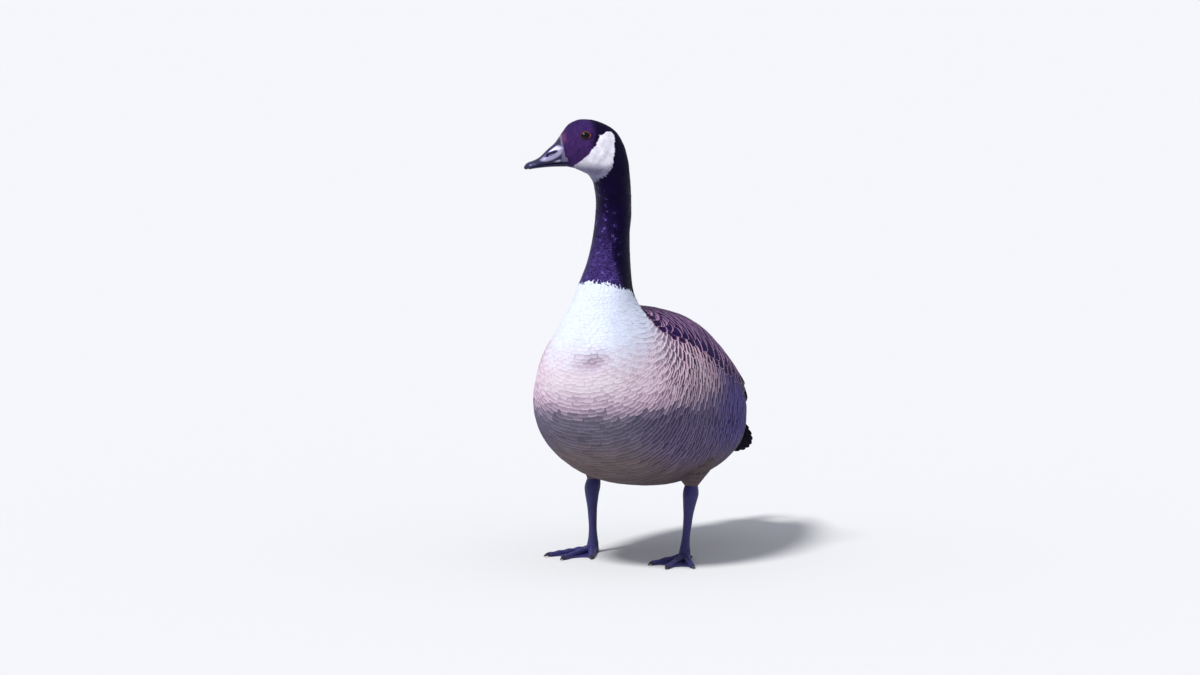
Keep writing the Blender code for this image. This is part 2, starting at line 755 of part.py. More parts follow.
def tail_vane(index, collection):
    """One tail feather, counted from the outermost on the right."""
    share = 2 * index / (TAIL_VANES - 1) - 1
    spread = TAIL_SPREAD * share
    length = TAIL_MIDDLE_LENGTH + (TAIL_OUTER_LENGTH - TAIL_MIDDLE_LENGTH) * share * share
    onward = np.array([math.sin(spread), math.cos(spread) * math.cos(TAIL_DROOP), -math.sin(TAIL_DROOP)])
    onward = onward / np.linalg.norm(onward)
    lateral = np.cross(onward, [0, 0, 1])
    lateral = lateral / np.linalg.norm(lateral) * math.copysign(1, share)
    normal = np.cross(lateral, onward) * math.copysign(1, share)
    below = TAIL_STEP * (abs(2 * index - TAIL_VANES + 1) // 2) + TAIL_ARCH * share * share
    below += 0.5 * TAIL_STEP * (index >= TAIL_VANES // 2)
    start = np.array(TAIL_ROOT) + np.array([TAIL_ROOT_SPREAD * share, 0, -below])
    rings = []
    for along, width in VANE_PROFILE:
        middle = start + onward * (TAIL_ROOT_REACH + (length - TAIL_ROOT_REACH) * along)
        rings.append(vane_section(middle, lateral, normal, TAIL_HALF_WIDTH * width, 1.0))
    mesh_object(f"tail_vane_{index}", *skin_rings(rings), collection)


def build_leg(side, word, shift, flesh, torso_cutter, materials):
    """Thigh, shank, foot and claws of one leg, its foot shifted outwards and back."""
    thigh_rows = leg_rows(THIGH, shift)
    shank_rows = leg_rows(SHANK, shift)
    thigh = mesh_object(
        "thigh_" + word, *skin_rings(level_rings(thigh_rows, LEG_SEGMENTS, side)), flesh, materials["pale"]
    )
    apply_boolean(thigh, "DIFFERENCE", cutter=torso_cutter)
    rings = level_rings(shank_rows, LEG_SEGMENTS, side)
    mesh_object("shank_" + word, *skin_rings(rings), flesh, materials["leg"])
    build_foot(side, word, shank_rows[-1], flesh, materials)


def leg_rows(rows, shift):
    """Leg sections with the foot carried out and back by shift, and the hip not at all."""
    top, bottom = THIGH[0][2], SHANK[-1][2]
    moved = []
    for x, y, z, half, depth in rows:
        share = (top - z) / (top - bottom)
        moved.append((x + shift[0] * share, y + shift[1] * share, z, half, depth))
    return moved


def toe_height(radius):
    """Height of a toe's middle line, so that it is cut flat by the floor."""
    return radius - TOE_SINK


def toe_direction(side, turn):
    """Level unit vector along a toe."""
    angle = turn + FOOT_TURN
    return np.array([side * math.sin(angle), -math.cos(angle), 0.0])


def toe_rings(joint, direction, length, knuckles, hind):
    """Sections along a toe, swollen at its knuckles."""
    lateral = np.array([-direction[1], direction[0], 0.0])
    rings = []
    steps = 2 * knuckles + 1
    for i in range(steps + 1):
        share = i / steps
        radius = TOE_ROOT_RADIUS + (TOE_TIP_RADIUS - TOE_ROOT_RADIUS) * share
        radius *= (0.72 if hind else 1.0) * (1 + KNUCKLE_SWELL * (i % 2))
        middle = joint + direction * length * share
        middle[2] = toe_height(radius)
        turns = [2 * math.pi * j / TOE_SEGMENTS for j in range(TOE_SEGMENTS)]
        rings.append([middle + lateral * radius * math.cos(a) + np.array([0, 0, radius * math.sin(a)]) for a in turns])
    return rings


def web_outline(joint, side):
    """Outline of the webs: out along each toe, with a sagging edge between toes."""
    tips = [joint + toe_direction(side, turn) * length * WEB_REACH for _, length, turn in TOES[:3]]
    outline = [joint - toe_direction(side, 0.0) * 0.002]
    for first, second in zip(tips[:-1], tips[1:]):
        middle = (first + second) / 2
        sag = middle + (joint - middle) * WEB_SAG
        for share in (0.0, 0.2, 0.4, 0.6, 0.8):
            outline.append((1 - share) ** 2 * first + 2 * share * (1 - share) * sag + share**2 * second)
    outline.append(tips[-1])
    return outline


def build_foot(side, word, ankle, flesh, materials):
    """A webbed foot with a flat sole, and its claws."""
    x, y = side * ankle[0], ankle[1]
    joint = np.array([x, y, 0.0])
    hub_rows = [
        (ankle[0], y, HUB_TOP, 0.0072, 0.0078),
        (ankle[0], y - 0.001, 0.0070, 0.0080, 0.0088),
        (ankle[0], y - 0.002, -0.0010, 0.0080, 0.0090),
    ]
    foot = mesh_object(
        "foot_" + word, *skin_rings(level_rings(hub_rows, LEG_SEGMENTS, side)), flesh, materials["leg"]
    )
    pieces = make_collection("foot_pieces")
    outline = web_outline(joint, side)
    web = [[p + np.array([0, 0, z]) for p in outline] for z in (-0.0005, WEB_THICKNESS)]
    mesh_object("web", *skin_rings(web), pieces)
    for toe, length, turn in TOES:
        direction = toe_direction(side, turn)
        rings = toe_rings(joint, direction, length, KNUCKLES[toe], toe == "hind")
        mesh_object("toe_" + toe, *skin_rings(rings), pieces)
        build_claw(f"claw_{word}_{toe}", joint, direction, length, toe == "hind", flesh, materials)
    apply_boolean(foot, "UNION", group=pieces)
    bpy.ops.mesh.primitive_cube_add(size=0.4, location=(x, y, -0.2))
    floor = bpy.context.object
    apply_boolean(foot, "DIFFERENCE", cutter=floor)
    remove(floor)


def build_claw(name, joint, direction, length, hind, flesh, materials):
    """A short claw that leaves the flat end of its toe and curves down, clear of the floor."""
    lateral = np.array([-direction[1], direction[0], 0.0])
    scale = 0.7 if hind else 1.0
    rings = []
    for share, radius, height in ((0.0, 1.0, 1.0), (0.35, 0.86, 1.02), (0.70, 0.58, 0.78), (1.0, 0.20, 0.36)):
        middle = joint + direction * (length + GAP + CLAW_LENGTH * scale * share)
        middle[2] = CLAW_RISE * height * scale
        size = CLAW_RADIUS * radius * scale
        turns = [2 * math.pi * j / 8 for j in range(8)]
        rings.append([middle + lateral * size * math.cos(a) + np.array([0, 0, size * math.sin(a)]) for a in turns])
    mesh_object(name, *skin_rings(rings), flesh, materials["claw"])


def centre_on_origin(collection):
    """Shift every part level, so that the whole bird's box stands centred on the origin."""
    corners = np.vstack([[v.co[:] for v in obj.data.vertices] for obj in collection.objects])
    middle = (corners.min(axis=0) + corners.max(axis=0)) / 2
    for obj in collection.objects:
        for vertex in obj.data.vertices:
            vertex.co.x -= middle[0]
            vertex.co.y -= middle[1]


def main():
    """Build the goose."""
    clear_scene()
    flesh = make_collection("canada_goose")
    materials = {
        "brown": make_material("brown_plumage", PLUMAGE_BROWN, 0.8),
        "pale": make_material("pale_plumage", PLUMAGE_PALE, 0.85),
        "neck": make_material("black_plumage", NECK_BLACK, 0.6),
        "head": make_material("head_plumage", HEAD_BLACK, 0.6),
        "bill": make_material("bill_horn", BILL_BLACK, 0.35),
        "eye": make_material("eye", EYE_BROWN, 0.08),
        "leg": make_material("leg_skin", LEG_DARK, 0.5),
        "claw": make_material("claw_horn", CLAW_DARK, 0.4),
    }
    form = bird_form()
    torso, head = build_trunk(form, flesh, materials)
    cut_gape(head, form, flesh)
    build_eyes(head, flesh, materials)
    build_bill(flesh, materials)
    torso_cutter = form_length(
        "torso_cutter", form, 0, TORSO_END, 25, flesh, None, gaps=(False, False), grow=CUTTER_GROWTH
    )
    build_tail(flesh, materials)
    build_wings(flesh, torso_cutter, materials)
    build_leg(1, "left", LEFT_FOOT, flesh, torso_cutter, materials)
    build_leg(-1, "right", RIGHT_FOOT, flesh, torso_cutter, materials)
    remove(torso_cutter)
    centre_on_origin(flesh)


main()
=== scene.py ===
"""Looks for the life-size Canada goose: skin, plumage, bill, eyes, lids, legs and studio.

The goose's form is read at a place along its stations and a turn about them, as in the solids.
Every feather is a thin closed vane laid on that form along its lie, and skin and feathers take
their colours from one set of markings.
"""

import json
import logging
import math
from collections.abc import Sequence
from dataclasses import dataclass, field, replace
from enum import Enum

import bmesh
import bpy
import numpy as np
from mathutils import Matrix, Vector, kdtree

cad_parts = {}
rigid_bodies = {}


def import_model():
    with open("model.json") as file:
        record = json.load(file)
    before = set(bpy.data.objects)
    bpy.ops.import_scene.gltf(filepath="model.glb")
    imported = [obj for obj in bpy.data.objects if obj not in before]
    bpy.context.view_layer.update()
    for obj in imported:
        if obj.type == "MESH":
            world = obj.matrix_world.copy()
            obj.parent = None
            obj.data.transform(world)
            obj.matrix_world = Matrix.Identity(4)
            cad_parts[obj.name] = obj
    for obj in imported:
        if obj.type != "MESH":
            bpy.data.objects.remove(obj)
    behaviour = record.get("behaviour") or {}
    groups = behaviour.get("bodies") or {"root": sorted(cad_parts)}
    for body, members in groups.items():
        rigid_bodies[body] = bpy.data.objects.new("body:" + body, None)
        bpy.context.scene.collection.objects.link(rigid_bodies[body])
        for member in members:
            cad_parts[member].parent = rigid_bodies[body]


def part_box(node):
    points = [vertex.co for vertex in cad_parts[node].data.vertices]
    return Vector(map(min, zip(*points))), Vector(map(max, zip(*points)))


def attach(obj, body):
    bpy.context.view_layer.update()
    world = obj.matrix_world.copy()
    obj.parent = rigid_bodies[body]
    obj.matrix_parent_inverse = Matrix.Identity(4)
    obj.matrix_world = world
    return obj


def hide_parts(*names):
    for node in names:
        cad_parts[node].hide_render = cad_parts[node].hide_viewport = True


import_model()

LOG = logging.getLogger("goose")
Array = np.ndarray
Colour = tuple[float, float, float, float]
Point = tuple[float, float, float]
MM = 0.001
SEED = 11


# Where the form stands.

NECK_AXIS_Y = -0.092
HEAD_YAW = math.radians(52)
EYE_LEVEL = 0.5634
HEAD_AHEAD_OF_NECK = 0.0358

# Back point (y, z), belly point (y, z), half width and how far down the section is widest.
BODY_STATIONS = (
    ((0.225, 0.186), (0.222, 0.127), 0.042, 0.54),
    ((0.190, 0.221), (0.185, 0.108), 0.069, 0.57),
    ((0.124, 0.271), (0.125, 0.094), 0.091, 0.59),
    ((0.054, 0.309), (0.055, 0.090), 0.103, 0.59),
    ((-0.006, 0.327), (-0.015, 0.095), 0.107, 0.57),
    ((-0.040, 0.332), (-0.083, 0.111), 0.107, 0.56),
    ((-0.059, 0.335), (-0.142, 0.141), 0.102, 0.56),
    ((-0.070, 0.338), (-0.186, 0.182), 0.088, 0.55),
    ((-0.078, 0.344), (-0.204, 0.236), 0.069, 0.52),
    ((-0.082, 0.353), (-0.193, 0.290), 0.053, 0.50),
    ((-0.083, 0.363), (-0.168, 0.335), 0.0405, 0.50),
    ((-0.082, 0.374), (-0.148, 0.372), 0.0335, 0.50),
)
WING_STATIONS = (
    ((0.292, 0.174), (0.288, 0.128), 0.027, 0.52),
    ((0.215, 0.223), (0.210, 0.113), 0.063, 0.57),
    ((0.124, 0.273), (0.125, 0.094), 0.091, 0.59),
)
TAIL_STATIONS = (
    ((0.2720, 0.1215), (0.2670, 0.1130), 0.0300, 0.52),
    ((0.2560, 0.1430), (0.2480, 0.1175), 0.0375, 0.52),
    ((0.2400, 0.1680), (0.2330, 0.1240), 0.0400, 0.52),
    ((0.2150, 0.1970), (0.2120, 0.1260), 0.0480, 0.54),
)
# Height, centre y, radius and share of the head's turn.
NECK_STATIONS = (
    (0.397, -0.1050, 0.0285, 0.0),
    (0.418, -0.0990, 0.0253, 0.08),
    (0.437, -0.0945, 0.0236, 0.25),
    (0.459, -0.0890, 0.0233, 0.55),
    (0.479, -0.0887, 0.0230, 0.80),
)
# Crown point and chin point, ahead of and above the eye, and half width.
HEAD_STATIONS = (
    ((-0.0596, -0.070), (-0.0124, -0.070), 0.0228),
    ((-0.0580, -0.050), (-0.0095, -0.060), 0.0232),
    ((-0.0552, -0.030), (-0.0025, -0.0508), 0.0245),
    ((-0.0494, -0.0110), (0.0045, -0.0470), 0.0255),
    ((-0.0385, 0.0055), (0.0110, -0.0440), 0.0255),
    ((-0.0215, 0.0160), (0.0165, -0.0417), 0.0242),
    ((-0.0045, 0.0208), (0.0210, -0.0405), 0.0223),
    ((0.0115, 0.0203), (0.0240, -0.0398), 0.0200),
    ((0.0230, 0.0145), (0.0262, -0.0393), 0.0178),
    ((0.0308, 0.0050), (0.0280, -0.0391), 0.0160),
    ((0.0347, -0.0004), (0.0290, -0.0389), 0.0150),
)
NECK_FOOT = len(BODY_STATIONS) - 1
FORM_END = len(BODY_STATIONS) + len(NECK_STATIONS) + len(HEAD_STATIONS) - 1


def smooth(low: float, high: float, value: Array) -> Array:
    """Ease from 0 at low to 1 at high."""
    share = np.clip((value - low) / (high - low), 0, 1)
    return share * share * (3 - 2 * share)


def unit(vectors: Array) -> Array:
    """Vectors made one long."""
    return vectors / np.maximum(np.linalg.norm(vectors, axis=-1, keepdims=True), 1e-12)


def forward_of(yaw: Array | float) -> Array:
    """Unit vector that a part turned to the bird's right by yaw faces."""
    yaw = np.asarray(yaw, float)
    return np.stack([-np.sin(yaw), -np.cos(yaw), np.zeros_like(yaw)], axis=-1)


def left_of(yaw: Array | float) -> Array:
    """Unit vector to the left of a part turned to the bird's right by yaw."""
    yaw = np.asarray(yaw, float)
    return np.stack([np.cos(yaw), -np.sin(yaw), np.zeros_like(yaw)], axis=-1)


def head_point(ahead: float, above: float, left: float = 0.0) -> Array:
    """A point given ahead of, above and left of the eye line on the head's plane."""
    start = np.array([0.0, NECK_AXIS_Y, EYE_LEVEL + above])
    reach = ahead + HEAD_AHEAD_OF_NECK
    return start + forward_of(HEAD_YAW) * reach + left_of(HEAD_YAW) * left


class Form:
    """A loft of sections that is read at any place along its stations."""

    def __init__(self, stations: Sequence[tuple]) -> None:
        """Take the sections.

        Args:
            stations: Rows of back point, belly point, half width, widest, fullness and yaw.
        """
        self.rows = np.array([[*row[0], *row[1], *row[2:]] for row in stations], float)
        middle = (self.rows[:, 0:3] + self.rows[:, 3:6]) / 2
        steps = np.linalg.norm(np.diff(middle, axis=0), axis=1)
        ends = np.linalg.norm(np.diff(self.rows[:, 3:6], axis=0), axis=1)
        self.steps = (steps + ends) / 2
        slopes = np.diff(self.rows, axis=0) / self.steps[:, None]
        self.tangents = np.empty_like(self.rows)
        self.tangents[0], self.tangents[-1] = slopes[0], slopes[-1]
        before, after = self.steps[:-1, None], self.steps[1:, None]
        self.tangents[1:-1] = (slopes[:-1] * after + slopes[1:] * before) / (before + after)
        self.last = len(self.rows) - 1

    def row(self, place: Array) -> Array:
        """Sections at places, going straight on past the ends."""
        inside = np.clip(place, 0, self.last)
        i = np.minimum(inside.astype(int), self.last - 1)
        t = (inside - i)[..., None]
        h = self.steps[i][..., None]
        square, cube = t * t, t * t * t
        found = (2 * cube - 3 * square + 1) * self.rows[i]
        found += (cube - 2 * square + t) * h * self.tangents[i]
        found += (3 * square - 2 * cube) * self.rows[i + 1]
        found += (cube - square) * h * self.tangents[i + 1]
        beyond = (place - inside)[..., None] * h
        ends = np.where(beyond < 0, self.tangents[0], self.tangents[-1])
        return found + beyond * ends

    def point(self, place: Array, turn: Array) -> Array:
        """Surface points: turn is 0 at the back, half a turn at the belly, left side positive."""
        row = self.row(place)
        half, widest, full, yaw = (row[..., k, None] for k in (6, 7, 8, 9))
        chord = row[..., 3:6] - row[..., 0:3]
        length = np.linalg.norm(chord, axis=-1, keepdims=True)
        upper, side = np.cos(turn)[..., None], np.sin(turn)[..., None]
        rise = np.where(upper > 0, length * widest, length * (1 - widest))
        up = rise * np.sign(upper) * np.abs(upper) ** (2 / full)
        out = half * np.sign(side) * np.abs(side) ** (2 / full)
        return row[..., 0:3] + chord * widest - chord / length * up + left_of(yaw[..., 0]) * out

    def lift(self, place: Array, turn: Array) -> Array:
        """How far the coat's own bed stands off the loft."""
        return np.zeros(np.broadcast(place, turn).shape)

    def normal(self, place: Array, turn: Array) -> Array:
        """Outward unit normals of the loft."""
        step = 0.02
        along = self.point(place + step, turn) - self.point(place - step, turn)
        around = self.point(place, turn + step) - self.point(place, turn - step)
        found = unit(np.cross(along, around))
        row = self.row(place)
        outward = self.point(place, turn) - (row[..., 0:3] + row[..., 3:6]) / 2
        return np.where(np.sum(found * outward, axis=-1, keepdims=True) > 0, found, -found)

    def raised(self, place: Array, turn: Array, off: Array | float) -> Array:
        """Points at a distance off the bed."""
        height = self.lift(place, turn) + off
        return self.point(place, turn) + self.normal(place, turn) * height[..., None]

    def grid(self, places: Array, segments: int, off: Array | float = 0.0) -> Array:
        """Rings of points, one ring for each place, at a distance off the bed."""
        turns = np.arange(segments) * 2 * math.pi / segments
        place, turn = np.meshgrid(places, turns, indexing="ij")
        return self.raised(place, turn, np.broadcast_to(off, place.shape))


def body_station(row: tuple) -> tuple:
    """A section of the torso, in the bird's own plane."""
    back, belly, half, widest = row
    return ((0, *back), (0, *belly), half, widest, 2.28, 0.0)


def neck_station(height: float, centre: float, radius: float, share: float) -> tuple:
    """A level, round section of the neck, turned by a share of the head's yaw."""
    yaw = HEAD_YAW * share
    middle = np.array([0.0, centre, height])
    reach = forward_of(yaw) * radius
    return (middle - reach, middle + reach, radius, 0.5, 2.0, yaw)


def head_station(crown: tuple, chin: tuple, half: float) -> tuple:
    """A section of the head, in the head's own plane."""
    return (head_point(*crown), head_point(*chin), half, 0.56, 2.15, HEAD_YAW)


def level_station(x: float, y: float, z: float, half: float, depth: float) -> tuple:
    """A level oval section of a leg."""
    return ((x, y + depth, z), (x, y - depth, z), half, 0.5, 2.0, 0.0)


class WingedForm(Form):
    """The torso's form with the folded wings' thickness on it."""

    DIMPLE = (8.78, 166.0)
    DIMPLE_DEPTH = 0.0040
    EDGE_PLACES = (0.0, 1.0, 2.0, 3.0, 4.0, 5.0, 6.0, 7.4)
    UPPER_EDGE = (0.15, 0.07, 0.05, 0.055, 0.07, 0.10, 0.17, 0.34)
    LOWER_EDGE = (0.33, 0.47, 0.49, 0.48, 0.49, 0.51, 0.50, 0.46)
    ACROSS = ((0.0, 0.12, 0.30, 0.60, 0.85, 1.0), (0.0008, 0.0032, 0.0052, 0.0052, 0.0034, 0.0008))
    ALONG = ((0.0, 1.2, 3.5, 5.2, 6.2, 7.4), (0.30, 0.62, 1.0, 0.85, 0.40, 0.06))

    def edges(self, place: Array) -> tuple[Array, Array]:
        """Turns of the wing's upper and lower edge at places."""
        upper = np.interp(place, self.EDGE_PLACES, self.UPPER_EDGE) * math.pi
        lower = np.interp(place, self.EDGE_PLACES, self.LOWER_EDGE) * math.pi
        return upper, lower

    def wing_turn(self, place: Array, across: Array) -> Array:
        """Turn of a point across the wing, 0 at its upper edge and 1 at its lower."""
        upper, lower = self.edges(place)
        return upper + (lower - upper) * across

    def lift(self, place: Array, turn: Array) -> Array:
        """The folded wing's thickness, eased to nothing beyond its edges."""
        upper, lower = self.edges(place)
        aside = np.abs((turn + math.pi) % (2 * math.pi) - math.pi)
        across = (aside - upper) / (lower - upper)
        height = np.interp(across, *self.ACROSS, left=0.0, right=0.0)
        height += 0.0010 * np.clip(1 + across / 0.15, 0, 1) * (across < 0)
        height += 0.0008 * np.clip(1 - (across - 1) / 0.15, 0, 1) * (across > 1)
        height = height * np.interp(place, *self.ALONG, left=0.30, right=0.0)
        return height - self.DIMPLE_DEPTH * self.dimple(place, turn)

    def dimple(self, place: Array, turn: Array) -> Array:
        """1 in the middle of the hollow between the breast's feathers, fading out round it."""
        up, aside = (place - self.DIMPLE[0]) / 0.13, (np.degrees(turn) - self.DIMPLE[1]) / 11
        return np.exp(-(up * up + aside * aside) / 2)


BIRD_ROWS = [body_station(row) for row in BODY_STATIONS]
BIRD_ROWS += [neck_station(*row) for row in NECK_STATIONS]
BIRD_ROWS += [head_station(*row) for row in HEAD_STATIONS]
BIRD = Form(BIRD_ROWS)
COVERED = WingedForm(BIRD_ROWS)
WINGS = WingedForm([body_station(row) for row in WING_STATIONS + BODY_STATIONS[3:]])
TAIL = Form([body_station(row) for row in TAIL_STATIONS])


@dataclass(frozen=True)
class EyePlace:
    """Where an eye sits and which way it looks."""

    ahead: float = 0.0047
    above: float = 0.0008
    out: float = 0.0141
    radius: float = 0.0075
    tilt_up: float = math.radians(19)
    tilt_ahead: float = math.radians(6)

    def centre(self, side: int) -> Array:
        """Centre of the left eye for side 1, or the right for -1."""
        return head_point(self.ahead, self.above, side * self.out)

    def axis(self, side: int) -> Array:
        """Unit vector that the eye looks along."""
        level = math.cos(self.tilt_up)
        outward = left_of(HEAD_YAW) * side * math.cos(self.tilt_ahead)
        outward = outward + forward_of(HEAD_YAW) * math.sin(self.tilt_ahead)
        return outward * level + np.array([0, 0, math.sin(self.tilt_up)])

    def aside(self, points: Array, side: int) -> Array:
        """Distance of points from the eye's axis, large behind the head's plane."""
        away = points - self.centre(side)
        along = away @ self.axis(side)
        far = np.linalg.norm(away - along[..., None] * self.axis(side), axis=-1)
        return np.where(along > -0.004, far, 1.0)


EYE = EyePlace()
SHIFT = (np.array(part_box("eye_left")[0]) + np.array(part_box("eye_left")[1])) / 2 - EYE.centre(1)


def pigment(red: int, green: int, blue: int) -> Colour:
    """A colour given as it is seen, made linear."""
    seen = np.array([red, green, blue]) / 255
    linear = np.where(seen <= 0.04045, seen / 12.92, ((seen + 0.055) / 1.055) ** 2.4)
    return (*linear.tolist(), 1.0)


class Tint(Enum):
    """The plumage's colours."""

    WHITE = pigment(214, 221, 239)
    CHEEK = pigment(230, 228, 238)
    # The white cheek patch's lower part in painted shade under the head.
    CHIN_SHADE = pigment(120, 118, 142)
    CREAM = pigment(206, 190, 201)
    CREAM_EDGE = pigment(220, 208, 217)
    MAUVE = pigment(172, 146, 170)
    MAUVE_EDGE = pigment(204, 184, 200)
    # SHADE down to BELLY_DARK: the lower breast's and belly's own greys, darkened by painted shade under the body.
    SHADE = pigment(100, 94, 112)
    SHADE_EDGE = pigment(126, 118, 136)
    BELLY = pigment(100, 88, 88)
    BELLY_EDGE = pigment(118, 104, 108)
    BELLY_DARK = pigment(80, 68, 76)
    FLANK = pigment(44, 18, 60)
    FLANK_EDGE = pigment(238, 206, 222)
    # The lower flank's feathers, darkened and greyed by painted shade.
    FLANK_SHADED = pigment(68, 59, 90)
    FLANK_SHADED_EDGE = pigment(122, 109, 142)
    REAR = pigment(46, 38, 81)
    REAR_EDGE = pigment(100, 87, 150)
    BACK = pigment(28, 8, 60)
    BACK_EDGE = pigment(204, 156, 198)
    SHOULDER_EDGE = pigment(236, 190, 204)
    QUILL = pigment(30, 18, 54)
    QUILL_EDGE = pigment(110, 90, 140)
    NECK = pigment(3, 1, 16)
    NECK_EDGE = pigment(14, 8, 36)
    GLINT = pigment(24, 14, 52)
    GLINT_EDGE = pigment(86, 68, 138)
    FACE = pigment(48, 26, 70)
    FACE_EDGE = pigment(62, 38, 88)
    CROWN = pigment(24, 16, 70)
    # A painted reddish highlight on the forehead at the bill's base.
    BROW_HIGHLIGHT = pigment(134, 78, 92)
    RUMP = pigment(8, 5, 28)
    TAIL = pigment(3, 2, 26)


@dataclass
class Paint:
    """Colours of many feathers: their middle, their edge, and the edge's share."""

    ground: Array
    edge: Array
    fringe: Array

    @classmethod
    def plain(cls, count: int, ground: Tint, edge: Tint, fringe: float) -> "Paint":
        """One colour for all."""
        return cls(
            np.tile(np.array(ground.value), (count, 1)),
            np.tile(np.array(edge.value), (count, 1)),
            np.full(count, fringe),
        )

    def over(self, mask: Array, ground: Tint, edge: Tint, fringe: float) -> None:
        """Lay another pair of colours on by a mask."""
        share = mask[:, None]
        self.ground += (np.array(ground.value) - self.ground) * share
        self.edge += (np.array(edge.value) - self.edge) * share
        self.fringe += (fringe - self.fringe) * mask


